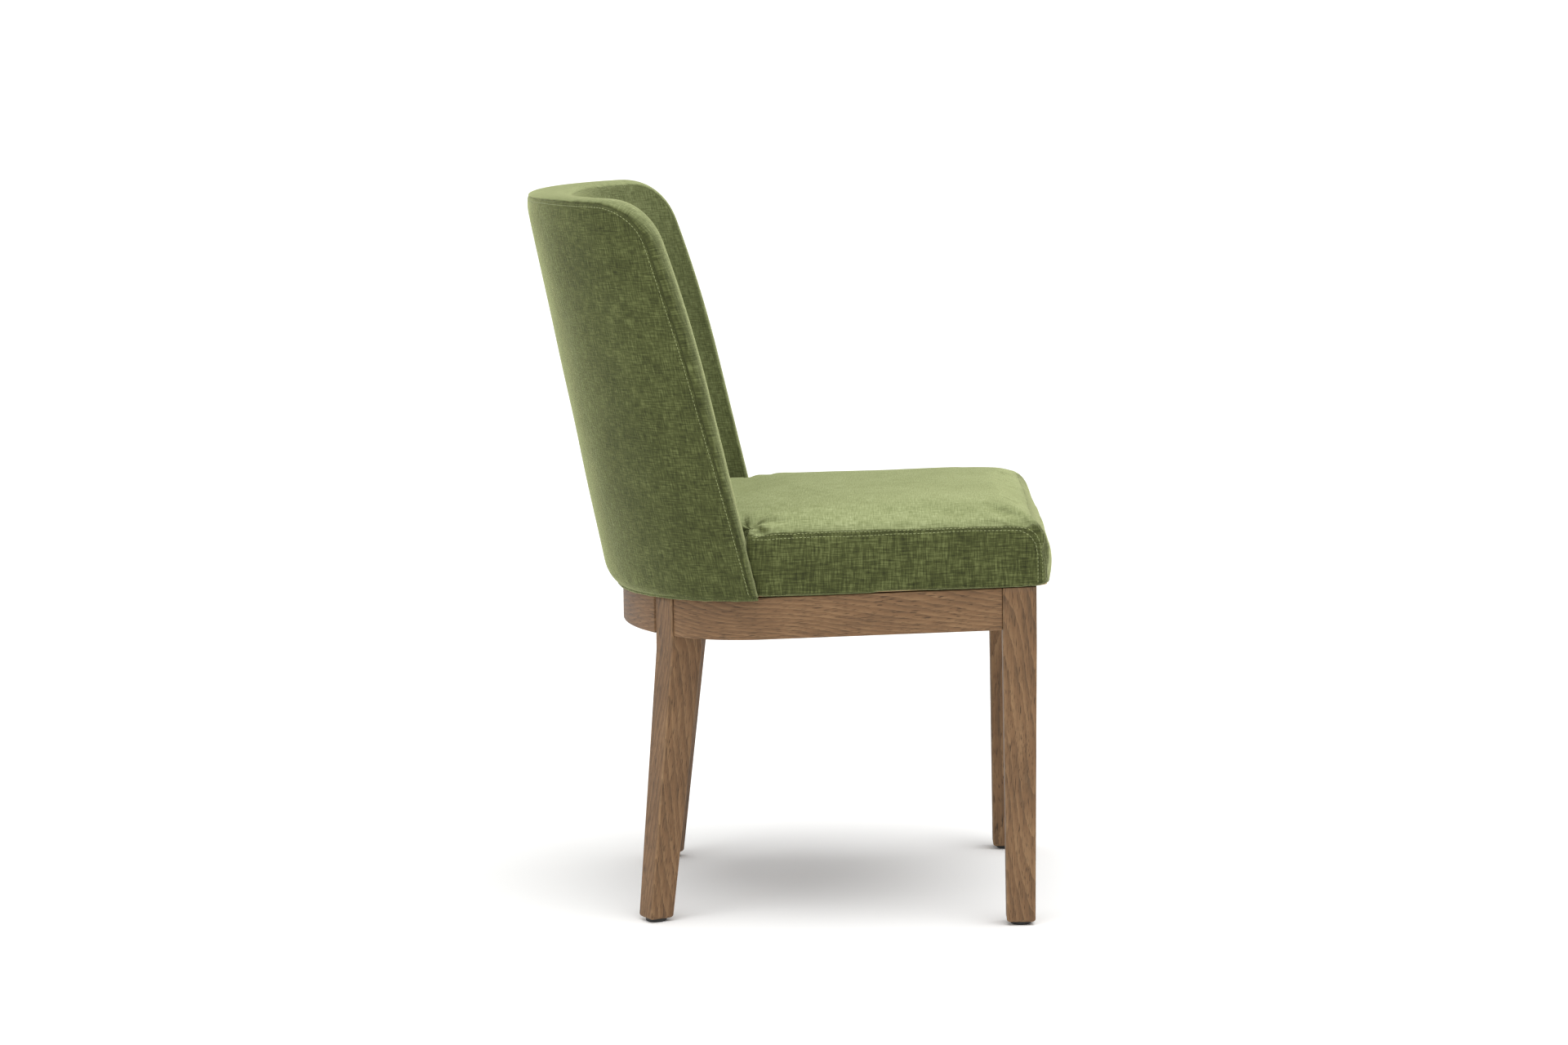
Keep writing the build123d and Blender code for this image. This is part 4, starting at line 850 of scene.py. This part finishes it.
def rear_rail_plan(t, inset):
    """Plan of the rear rail: one arc between the rear legs' inner faces."""
    radius, centre_y, _ = rear_arc(RAIL_HALF, RAIL_RADIUS, RAIL_APEX)
    face = np.array([-math.cos(REAR_LEG_TURN), math.sin(REAR_LEG_TURN)])
    on_face = rear_leg_centre() + face * (REAR_LEG_TOP / 2 + JOINT_GAP)
    reach = radius - inset
    end = np.arccos(((on_face - [0, centre_y]) @ face) / reach) - (math.pi / 2 - REAR_LEG_TURN)
    bearing = (2 * t - 1) * end
    return np.stack([-reach * np.sin(bearing), centre_y + reach * np.cos(bearing)], -1)


def front_rail_plan(t, inset):
    """Plan of the front rail: straight between the front legs."""
    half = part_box("front_rail")[1][0] - JOINT_GAP
    return np.stack([(2 * t - 1) * half + 0 * inset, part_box("front_rail")[0][1] + inset + 0 * t], -1)


def timber_frame(settings):
    """Legs and rails."""
    pieces = []
    front_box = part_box("front_leg_right")
    front = np.array([(front_box[0][0] + front_box[1][0]) / 2, (front_box[0][1] + front_box[1][1]) / 2])
    rear = rear_leg_centre()
    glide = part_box("glide_rear_right")
    foot = np.array([(glide[0][0] + glide[1][0]) / 2, (glide[0][1] + glide[1][1]) / 2])
    for side, word in ((-1, "left"), (1, "right")):
        flip = np.array([side, 1])
        pieces.append(leg(f"front_leg_{word}_timber", f"front_leg_{word}", front * flip, front * flip,
                          FRONT_LEG_TOP, FRONT_LEG_FOOT, 0, np.array([0.31 * side, 0.13, 0.2]), settings))
        pieces.append(leg(f"rear_leg_{word}_timber", f"rear_leg_{word}", rear * flip, foot * flip,
                          REAR_LEG_TOP, REAR_LEG_FOOT, -side * REAR_LEG_TURN,
                          np.array([0.52 * side, 0.4, 0.7]), settings))
        pieces.append(bar(f"side_rail_{word}_timber", f"side_rail_{word}", side_rail_plan, 0.42,
                          np.array([0.02, 0.012 * side, 1.3]), settings, side))
    pieces.append(bar("rear_rail_timber", "rear_rail", rear_rail_plan, 0.31,
                      np.array([0.2, 0.1, 2.2]), settings, 1))
    pieces.append(bar("front_rail_timber", "front_rail", front_rail_plan, 0.41,
                      np.array([0.3, -0.1, 3.1]), settings, -1))
    return pieces


# ---------------------------------------------------------------- underside
def dust_sheet():
    """Black cloth under the seat: a grid inside the rails, held at its edge and sagging a little between.

    Sag = 4 mm * (1 - u^2) * sin(pi v), with u across and v from front to rear; creases of half a
    millimetre fade at the edge in the same way.
    """
    low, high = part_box("seat_dust_cover")
    front, rear = low[1] + 1 * MM, high[1] - 2 * MM
    share = np.linspace(0, 1, 60)
    y = front + (rear - front) * (1 - (1 - share) ** 1.5)
    half, radius, apex = RAIL_HALF - RAIL_THICK - 2 * MM, RAIL_RADIUS - RAIL_THICK - 2 * MM, rear
    rear_radius, centre_y, join = rear_arc(half, radius, apex)
    corner = half - radius + np.sqrt(np.clip(radius**2 - np.clip(y - CORNER_Y, 0, radius) ** 2, 0, None))
    arc = np.sqrt(np.clip(rear_radius**2 - (y - centre_y) ** 2, 0, None))
    width = np.where(y < centre_y + rear_radius * math.cos(join), corner, arc)
    width = np.maximum(width, 12 * MM)
    u = np.linspace(-1, 1, 61)
    x = width[:, None] * u[None]
    v = (y - front) / (rear - front)
    sag = 4 * MM * (1 - u[None] ** 2) * np.sin(np.pi * v[:, None])
    creases = (0.5 * MM * np.sin(40 * u[None] + 9 * v[:, None])
               * (1 - u[None] ** 2) * np.sin(np.pi * v[:, None]))
    z = deck(y)[:, None] - 0.4 * MM - sag + creases
    grid = np.stack([x, np.broadcast_to(y[:, None], x.shape), z], -1)
    cloth = np.stack([grid[..., 0], grid[..., 1], 0 * z], -1).reshape(-1, 3)
    piece = build("seat_dust_sheet", grid.reshape(-1, 3), grid_faces(*x.shape)[:, ::-1], weave=cloth)
    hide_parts("seat_dust_cover")
    wall = piece.modifiers.new("Solidify", "SOLIDIFY")
    wall.thickness = 0.5 * MM
    wall.offset = 0
    return piece


# ---------------------------------------------------------------- materials
def add(tree, kind, inputs=None, stops=None, **settings):
    """Add a node with its settings, its colour stops, and its input values or links."""
    made = tree.nodes.new(kind)
    for key, value in settings.items():
        setattr(made, key, value)
    for key, value in (inputs or {}).items():
        if isinstance(value, bpy.types.NodeSocket):
            tree.links.new(value, made.inputs[key])
        else:
            made.inputs[key].default_value = value
    if stops:
        ramp = made.color_ramp
        while len(ramp.elements) < len(stops):
            ramp.elements.new(0.5)
        for element, (place, colour) in zip(ramp.elements, stops):
            element.position = place
            element.color = (*colour, 1)
    return made


def new_material(name):
    """An empty material with a Principled shader wired to its output."""
    material = bpy.data.materials.new(name)
    material.use_nodes = True
    tree = material.node_tree
    tree.nodes.clear()
    shader = add(tree, "ShaderNodeBsdfPrincipled")
    add(tree, "ShaderNodeOutputMaterial", {"Surface": shader.outputs[0]})
    return material, tree, shader


def chenille(settings):
    """Velvety slubbed chenille: uneven threads both ways, pile that glows at its edges.

    The colour is painted paler, as painted light, on faces that look up and a little on those that
    look forward or towards the sitter; along the seams it is painted darker, as painted shade.
    Threads are drawn 1.5 mm apart and 14 mm long, coarser than the real ones, so that they show.
    """
    material, tree, shader = new_material("chenille_moss_green")
    weave = add(tree, "ShaderNodeAttribute", attribute_name="weave")
    seam = add(tree, "ShaderNodeAttribute", attribute_name="seam")
    place = weave.outputs["Vector"]
    warp_space = add(tree, "ShaderNodeMapping", {"Vector": place, "Scale": (1 / 0.0015, 1 / 0.014, 1)})
    weft_space = add(tree, "ShaderNodeMapping", {"Vector": place, "Scale": (1 / 0.014, 1 / 0.0015, 1)})
    warp = add(tree, "ShaderNodeTexNoise", {"Vector": warp_space.outputs[0], "Scale": 1.0, "Detail": 3.0})
    weft = add(tree, "ShaderNodeTexNoise", {"Vector": weft_space.outputs[0], "Scale": 1.0, "Detail": 3.0})
    mottle = add(tree, "ShaderNodeTexNoise", {"Vector": place, "Scale": 42.0, "Detail": 4.0,
                                              "Distortion": 0.6})
    patch = add(tree, "ShaderNodeTexNoise", {"Vector": place, "Scale": 9.0, "Detail": 2.0})
    threads = add(tree, "ShaderNodeMath", {0: warp.outputs["Fac"], 1: weft.outputs["Fac"]}, operation="ADD")
    cloud = add(tree, "ShaderNodeMath", {0: mottle.outputs["Fac"], 1: 0.3, 2: -0.15},
                operation="MULTIPLY_ADD")
    drift = add(tree, "ShaderNodeMath", {0: patch.outputs["Fac"], 1: 0.35, 2: cloud.outputs[0]},
                operation="MULTIPLY_ADD")
    shade = add(tree, "ShaderNodeMath", {0: threads.outputs[0], 1: 0.9, 2: drift.outputs[0]},
                operation="MULTIPLY_ADD")
    level = add(tree, "ShaderNodeMath", {0: shade.outputs[0], 1: -0.60}, operation="ADD")
    colour = add(tree, "ShaderNodeValToRGB", {"Fac": level.outputs[0]}, stops=[
        (0.2, settings.fabric_dark), (0.5, settings.fabric_mid), (0.8, settings.fabric_light)])
    # Painted shade: the cloth is darkened towards #2c3015 along the seams, by the seam attribute.
    seam_painted_shade = add(tree, "ShaderNodeMath", {0: seam.outputs["Fac"], 1: 0.42}, operation="MULTIPLY")
    # Painted light: faces that look up are mixed towards the paler colours below.
    nap = add(tree, "ShaderNodeAttribute", attribute_name="nap")
    lit_colour = add(tree, "ShaderNodeValToRGB", {"Fac": level.outputs[0]}, stops=[
        (0.2, settings.nap_dark), (0.5, settings.nap_mid), (0.8, settings.nap_light)])
    painted_light_colour = add(tree, "ShaderNodeMix", {"Factor": nap.outputs["Fac"], 6: colour.outputs[0],
                                       7: lit_colour.outputs[0]}, data_type="RGBA")
    seam_shaded_colour = add(tree, "ShaderNodeMix", {"Factor": seam_painted_shade.outputs[0], 6: painted_light_colour.outputs[2],
                                         7: (*linear("#2c3015"), 1)}, data_type="RGBA")
    bump = add(tree, "ShaderNodeBump", {"Height": threads.outputs[0], "Strength": 0.55, "Distance": 0.0011})
    for key, value in {"Base Color": seam_shaded_colour.outputs[2], "Normal": bump.outputs[0]}.items():
        tree.links.new(value, shader.inputs[key])
    shader.inputs["Roughness"].default_value = 0.92
    shader.inputs["Specular IOR Level"].default_value = 0.25
    shader.inputs["Sheen Weight"].default_value = settings.sheen
    shader.inputs["Sheen Roughness"].default_value = 0.32
    shader.inputs["Sheen Tint"].default_value = (*linear("#dfe6aa"), 1)
    return material


def thread_material():
    """Twisted polyester thread: pale green, fine diagonal twist."""
    material, tree, shader = new_material("twisted_thread_pale_green")
    spot = add(tree, "ShaderNodeTexCoord")
    twist = add(tree, "ShaderNodeTexNoise", {"Vector": spot.outputs["Object"], "Scale": 900.0, "Detail": 2.0})
    colour = add(tree, "ShaderNodeValToRGB", {"Fac": twist.outputs["Fac"]}, stops=[
        (0.3, linear("#6c7343")), (0.7, linear("#a1a96f"))])
    tree.links.new(colour.outputs[0], shader.inputs["Base Color"])
    shader.inputs["Roughness"].default_value = 0.7
    shader.inputs["Sheen Weight"].default_value = 0.3
    return material


def weathered_oak(settings):
    """Brushed and oiled hardwood: arched growth rings on the broad faces, open pores, paler worn edges.

    Rings are 5 mm apart and pores 0.9 mm wide and 14 mm long, drawn a little coarse so that they show.
    """
    material, tree, shader = new_material("weathered_oiled_oak")
    grain = add(tree, "ShaderNodeAttribute", attribute_name="grain")
    wear = add(tree, "ShaderNodeAttribute", attribute_name="wear")
    place = grain.outputs["Vector"]
    long_space = add(tree, "ShaderNodeMapping", {"Vector": place, "Scale": (14, 14, 3.2)})
    wander = add(tree, "ShaderNodeTexNoise", {"Vector": long_space.outputs[0], "Scale": 1.0, "Detail": 2.0})
    shift = add(tree, "ShaderNodeVectorMath", {0: wander.outputs["Color"], 1: (0.032, 0.032, 0.05)},
                operation="MULTIPLY")
    bent = add(tree, "ShaderNodeVectorMath", {0: place, 1: shift.outputs[0]}, operation="ADD")
    tilted = add(tree, "ShaderNodeMapping", {"Vector": bent.outputs[0], "Location": (0.03, 0.015, 0.0),
                                             "Rotation": (0.1, 0.075, 0)})
    rings = add(tree, "ShaderNodeTexWave", {"Vector": tilted.outputs[0], "Scale": 62.0, "Distortion": 1.2,
                                            "Detail": 2.0, "Detail Scale": 1.4},
                wave_type="RINGS", rings_direction="Z", wave_profile="SAW")
    pore_space = add(tree, "ShaderNodeMapping", {"Vector": bent.outputs[0],
                                                 "Scale": (1 / 0.0009, 1 / 0.0009, 1 / 0.014)})
    pores = add(tree, "ShaderNodeTexNoise", {"Vector": pore_space.outputs[0], "Scale": 1.0, "Detail": 3.0})
    fibre_space = add(tree, "ShaderNodeMapping", {"Vector": place, "Scale": (1 / 0.004, 1 / 0.004, 1 / 0.12)})
    fibre = add(tree, "ShaderNodeTexNoise", {"Vector": fibre_space.outputs[0], "Scale": 1.0, "Detail": 4.0})
    blotch = add(tree, "ShaderNodeTexNoise", {"Vector": place, "Scale": 13.0, "Detail": 3.0})
    first = add(tree, "ShaderNodeMath", {0: rings.outputs["Fac"], 1: 0.28, 2: 0.03}, operation="MULTIPLY_ADD")
    second = add(tree, "ShaderNodeMath", {0: fibre.outputs["Fac"], 1: 0.55, 2: first.outputs[0]},
                 operation="MULTIPLY_ADD")
    third = add(tree, "ShaderNodeMath", {0: blotch.outputs["Fac"], 1: 0.5, 2: second.outputs[0]},
                operation="MULTIPLY_ADD")
    tone = add(tree, "ShaderNodeMath", {0: third.outputs[0], 1: -0.2}, operation="ADD")
    colour = add(tree, "ShaderNodeValToRGB", {"Fac": tone.outputs[0]}, stops=[
        (0.2, settings.wood_dark), (0.5, settings.wood_mid), (0.82, settings.wood_light)])
    pit = add(tree, "ShaderNodeValToRGB", {"Fac": pores.outputs["Fac"]}, stops=[
        (0.34, (1, 1, 1)), (0.44, (0, 0, 0))])
    pitted = add(tree, "ShaderNodeMix", {"Factor": pit.outputs[0], 6: colour.outputs[0],
                                         7: (*linear("#46331f"), 1)}, data_type="RGBA")
    rub = add(tree, "ShaderNodeTexNoise", {"Vector": place, "Scale": 60.0, "Detail": 3.0})
    worn = add(tree, "ShaderNodeMath", {0: wear.outputs["Fac"], 1: rub.outputs["Fac"]}, operation="MULTIPLY")
    worn_level = add(tree, "ShaderNodeMapRange", {"Value": worn.outputs[0], "From Min": 0.3, "From Max": 0.75,
                                                  "To Min": 0.0, "To Max": 0.5})
    finished = add(tree, "ShaderNodeMix", {"Factor": worn_level.outputs[0], 6: pitted.outputs[2],
                                           7: (*linear("#9c8160"), 1)}, data_type="RGBA")
    relief = add(tree, "ShaderNodeMath", {0: pores.outputs["Fac"], 1: rings.outputs["Fac"]}, operation="ADD")
    bump = add(tree, "ShaderNodeBump", {"Height": relief.outputs[0], "Strength": 0.25, "Distance": 0.0004})
    gloss = add(tree, "ShaderNodeMapRange", {"Value": fibre.outputs["Fac"], "To Min": 0.5, "To Max": 0.68})
    for key, value in {"Base Color": finished.outputs[2], "Normal": bump.outputs[0],
                       "Roughness": gloss.outputs[0]}.items():
        tree.links.new(value, shader.inputs[key])
    shader.inputs["Specular IOR Level"].default_value = 0.35
    return material


def object_noise_material(name, dark, light, scale, stretch, roughness, metallic=0.0, bump=0.2):
    """A stock material on Object coordinates: two tones mixed by stretched noise, with matching relief."""
    material, tree, shader = new_material(name)
    spot = add(tree, "ShaderNodeTexCoord")
    space = add(tree, "ShaderNodeMapping", {"Vector": spot.outputs["Object"], "Scale": stretch})
    noise = add(tree, "ShaderNodeTexNoise", {"Vector": space.outputs[0], "Scale": scale, "Detail": 4.0})
    colour = add(tree, "ShaderNodeValToRGB", {"Fac": noise.outputs["Fac"]}, stops=[
        (0.3, linear(dark)), (0.7, linear(light))])
    rough = add(tree, "ShaderNodeMapRange", {"Value": noise.outputs["Fac"], "To Min": roughness - 0.08,
                                             "To Max": roughness + 0.08})
    relief = add(tree, "ShaderNodeBump", {"Height": noise.outputs["Fac"], "Strength": bump,
                                          "Distance": 0.0005})
    for key, value in {"Base Color": colour.outputs[0], "Roughness": rough.outputs[0],
                       "Normal": relief.outputs[0]}.items():
        tree.links.new(value, shader.inputs[key])
    shader.inputs["Metallic"].default_value = metallic
    return material


def dress(piece, material):
    """Give a piece one material."""
    piece.data.materials.clear()
    piece.data.materials.append(material)


def dress_nodes(material, *names):
    """Give CAD nodes a material."""
    for name in names:
        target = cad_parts[name]
        if not target.material_slots:
            target.data.materials.append(material)
        for socket in target.material_slots:
            socket.material = material


# ---------------------------------------------------------------- settings
def size_property(name, description, default):
    """A length in metres that a user may change."""
    return FloatProperty(name=name, description=description, default=default, unit="LENGTH", min=0.0)


def colour_property(name, description, default):
    """A linear colour that a user may change."""
    return FloatVectorProperty(name=name, description=description, default=linear(default), subtype="COLOR",
                               size=3, min=0.0, max=1.0)


class ChairUpholsterySettings(bpy.types.PropertyGroup):
    """Sizes and colours of the upholstery."""
    seam_top: size_property("Seam below top", "Outer seam below the top edge", 6.5 * MM)
    seam_wing: size_property("Seam behind wing", "Widest setback of the outer seam on the wing", 16 * MM)
    seam_depth: size_property("Seam depth", "Depth of the seams' valleys", 0.9 * MM)
    topstitch: size_property("Topstitch", "Topstitch beside the seam", 3.2 * MM)
    thread: size_property("Thread", "Radius of the topstitch thread", 0.4 * MM)
    hem_radius: size_property("Hem", "Radius of the rolled hem", 1.7 * MM)
    back_crown: size_property("Back crown", "Crown of the inner back towards the sitter", 4 * MM)
    seat_crown: size_property("Seat crown", "Middle of the seat above its side seam", 21.5 * MM)
    seat_shoulder: size_property("Seat shoulder", "Soft edge above the side seam", 9 * MM)
    pucker_depth: size_property("Pucker", "Depth of the gathers beside the wings", 10 * MM)
    nose_power: FloatProperty(name="Nose", description="Squareness of the padded edge", default=2.3)
    seat_pressure: FloatProperty(name="Pressure", description="Pressure that swells the seat", default=1.8)
    sheen: FloatProperty(name="Sheen", description="Glow of the pile at its edges", default=1.0)
    fabric_dark: colour_property("Fabric dark", "Standing pile's darkest threads", "#2a2e15")
    fabric_mid: colour_property("Fabric", "Standing pile", "#454a26")
    fabric_light: colour_property("Fabric light", "Standing pile's lightest threads", "#676e42")
    # Paler fabric colours mixed in on faces that look up: painted light.
    nap_dark: colour_property("Nap dark", "Brushed pile's darkest threads", "#6f774b")
    nap_mid: colour_property("Nap", "Brushed pile", "#8b9366")
    nap_light: colour_property("Nap light", "Brushed pile's lightest threads", "#a8b083")


class ChairTimberSettings(bpy.types.PropertyGroup):
    """Sizes and colours of the timber."""
    leg_edge: size_property("Leg edge", "Rounding of the legs' long edges", 2.2 * MM)
    rail_edge: size_property("Rail edge", "Rounding of the rails' edges", 1.8 * MM)
    wood_dark: colour_property("Timber dark", "Late wood", "#54402b")
    wood_mid: colour_property("Timber", "Body of the wood", "#745639")
    wood_light: colour_property("Timber light", "Early wood", "#8d6f4e")


class ChairStageSettings(bpy.types.PropertyGroup):
    """Camera and light."""
    lens: FloatProperty(name="Lens", description="Focal length in mm on a 36 mm sensor", default=103.6)
    key: FloatProperty(name="Key light", description="Strength of the overhead light", default=2.4)
    fill: FloatProperty(name="Fill light", description="Power of the side soft box", default=18.0,
                        unit="POWER")
    sky: FloatProperty(name="Room light", description="Strength of the white room", default=0.7)


# ---------------------------------------------------------------- operators
class CHAIR_OT_back(bpy.types.Operator):
    """Make the padded back, its hem and its topstitch"""
    bl_idname = "chair.back"
    bl_label = "Back upholstery"

    def execute(self, context):
        settings = context.scene.chair_upholstery
        fabric = chenille(settings)
        dress(back_upholstery(settings), fabric)
        dress(back_hem(settings), fabric)
        path, outward = back_run(settings, settings.topstitch, -0.1 * MM)
        run = [(path, outward)]
        piece = stitches("back_topstitch", run, STITCH_PITCH, STITCH_LENGTH, settings.thread)
        dress(piece, thread_material())
        return {"FINISHED"}


class CHAIR_OT_seat(bpy.types.Operator):
    """Make the seat cushion and its topstitch"""
    bl_idname = "chair.seat"
    bl_label = "Seat cushion"

    def execute(self, context):
        settings = context.scene.chair_upholstery
        cushion = seat_cushion(settings)
        dress(cushion, bpy.data.materials["chenille_moss_green"])
        dress(seat_stitching(cushion, settings), bpy.data.materials["twisted_thread_pale_green"])
        return {"FINISHED"}


class CHAIR_OT_timber(bpy.types.Operator):
    """Make the legs and rails"""
    bl_idname = "chair.timber"
    bl_label = "Timber frame"

    def execute(self, context):
        settings = context.scene.chair_timber
        oak = weathered_oak(settings)
        for piece in timber_frame(settings):
            dress(piece, oak)
        return {"FINISHED"}


class CHAIR_OT_underside(bpy.types.Operator):
    """Make the dust sheet and finish the pieces under the seat and inside the back"""
    bl_idname = "chair.underside"
    bl_label = "Underside and hardware"

    def execute(self, context):
        # Spunbond polypropylene: a dull black mat of fine fibres.
        cloth = object_noise_material("spunbond_black", "#0c0c0d", "#1d1d1f", 900, (1, 1, 1), 0.9, bump=0.5)
        dress(dust_sheet(), cloth)
        names = list(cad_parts)
        # Sawn beech, unfinished: pale and dry, with faint streaks along its height.
        beech = object_noise_material("sawn_beech", "#9c7a52", "#c3a176", 60, (6, 6, 1), 0.75)
        # Birch plywood, unfinished: pale faces, its plies showing as fine level bands.
        ply = object_noise_material("birch_plywood", "#b08d5f", "#d0b48a", 50, (1, 1, 14), 0.7)
        # Rolled steel strip: dark grey with a slow cloudiness.
        rolled = object_noise_material("rolled_steel", "#4c4d50", "#85868a", 40, (1, 1, 1), 0.42,
                                       metallic=1.0)
        # Zinc-plated steel: brighter, faintly mottled and a little smoother.
        zinc = object_noise_material("zinc_plated_steel", "#8d8f8c", "#c2c4bf", 120, (1, 1, 1), 0.35,
                                     metallic=1.0)
        # Moulded nylon: black with a fine matt grain.
        nylon = object_noise_material("moulded_nylon_black", "#0d0d0d", "#232323", 300, (1, 1, 1), 0.5)
        dress_nodes(beech, *[n for n in names if n.startswith("corner_block_") and "screws" not in n],
                    "rail_dowels")
        dress_nodes(ply, "seat_board", "back_shell")
        dress_nodes(rolled, *[n for n in names if n.startswith("back_bracket") and "bolts" not in n])
        dress_nodes(zinc, "leg_bolts", "leg_washers", "leg_nuts", "corner_block_screws", "seat_screws",
                    "dust_cover_staples", "back_bracket_bolts", "back_tee_nuts", "bracket_board_screws",
                    "glide_nails")
        dress_nodes(nylon, *[n for n in names if n.startswith("glide_") and n != "glide_nails"])
        return {"FINISHED"}


class CHAIR_OT_stage(bpy.types.Operator):
    """Make the floor, the soft light and the camera"""
    bl_idname = "chair.stage"
    bl_label = "Stage"

    def execute(self, context):
        settings = context.scene.chair_stage
        make_floor()
        make_lights(settings)
        make_camera(settings)
        return {"FINISHED"}


def make_floor():
    """A wide pale floor: a grid of points at height zero."""
    reach = np.linspace(-FLOOR_REACH, FLOOR_REACH, 13)
    x, y = np.meshgrid(reach, reach)
    mesh = bpy.data.meshes.new("studio_floor")
    mesh.from_pydata(np.stack([x, y, 0 * x], -1).reshape(-1, 3).tolist(), [], grid_faces(13, 13).tolist())
    floor = bpy.data.objects.new("studio_floor", mesh)
    bpy.context.scene.collection.objects.link(floor)
    # Matt white paint: slow, barely seen patches.
    material = object_noise_material("painted_floor_white", "#f6f6f5", "#f9f9f8", 0.5, (1, 1, 1), 0.85,
                                     bump=0.02)
    dress(floor, material)


def make_lights(settings):
    """A white room, a wide soft light overhead and a soft box behind the chair's left."""
    world = bpy.data.worlds.new("white_room")
    bpy.context.scene.world = world
    world.use_nodes = True
    world.node_tree.nodes["Background"].inputs[0].default_value = (1, 1, 1, 1)
    world.node_tree.nodes["Background"].inputs[1].default_value = settings.sky
    bpy.context.scene.view_settings.view_transform = "Standard"
    lamps = [("overhead_sky_light", "SUN", (-0.6, -0.4, 3.2), settings.key, 60.0),
             ("rear_soft_box", "AREA", (-2.2, 2.6, 1.8), settings.fill, 2.0)]
    for name, kind, place, power, spread in lamps:
        light = bpy.data.lights.new(name, kind)
        light.energy = power
        if kind == "SUN":
            light.angle = math.radians(spread)
        else:
            light.size = spread
        lamp = bpy.data.objects.new(name, light)
        lamp.location = place
        lamp.rotation_euler = (Vector((0, 0, 0.5)) - Vector(place)).to_track_quat("-Z", "Y").to_euler()
        bpy.context.scene.collection.objects.link(lamp)


def make_camera(settings):
    """Side view from the left, a little above the seat, turned and rolled by under a degree."""
    yaw, tilt, roll = math.radians(0.66), math.radians(7.4), math.radians(0.69)
    ahead = Vector((math.cos(yaw) * math.cos(tilt), math.sin(yaw) * math.cos(tilt), -math.sin(tilt)))
    right = Vector((math.sin(yaw), -math.cos(yaw), 0))
    up = right.cross(ahead)
    turned_right = right * math.cos(roll) - up * math.sin(roll)
    turned_up = up * math.cos(roll) + right * math.sin(roll)
    camera = bpy.data.cameras.new("side_camera")
    camera.lens = settings.lens
    camera.sensor_width = 36
    camera.clip_end = 100
    eye = bpy.data.objects.new("side_camera", camera)
    turn = Matrix((turned_right, turned_up, -ahead)).transposed()
    eye.matrix_world = Matrix.Translation(CAMERA_PLACE) @ turn.to_4x4()
    bpy.context.scene.collection.objects.link(eye)
    bpy.context.scene.camera = eye


class CHAIR_PT_panel(bpy.types.Panel):
    """Chair sizes, colours and steps"""
    bl_label = "Dining chair"
    bl_idname = "CHAIR_PT_panel"
    bl_space_type = "VIEW_3D"
    bl_region_type = "UI"
    bl_category = "Chair"

    def draw(self, context):
        for operator in STEPS:
            self.layout.operator(operator.bl_idname)
        for group in (context.scene.chair_upholstery, context.scene.chair_timber, context.scene.chair_stage):
            box = self.layout.box()
            for key in group.bl_rna.properties.keys():
                if key not in ("rna_type", "name"):
                    box.prop(group, key)


STEPS = (CHAIR_OT_stage, CHAIR_OT_back, CHAIR_OT_seat, CHAIR_OT_timber, CHAIR_OT_underside)
GROUPS = {
    "chair_upholstery": ChairUpholsterySettings,
    "chair_timber": ChairTimberSettings,
    "chair_stage": ChairStageSettings,
}


def register():
    """Register every class and hang the settings on the scene."""
    for item in (*GROUPS.values(), *STEPS, CHAIR_PT_panel):
        bpy.utils.register_class(item)
    for key, group in GROUPS.items():
        setattr(bpy.types.Scene, key, PointerProperty(type=group))


def unregister():
    """Undo register."""
    for key in GROUPS:
        delattr(bpy.types.Scene, key)
    for item in (CHAIR_PT_panel, *reversed(STEPS), *reversed(GROUPS.values())):
        bpy.utils.unregister_class(item)


def main():
    register()
    bpy.ops.chair.stage()
    bpy.ops.chair.back()
    bpy.ops.chair.seat()
    bpy.ops.chair.timber()
    bpy.ops.chair.underside()


if __name__ == "__main__":
    main()
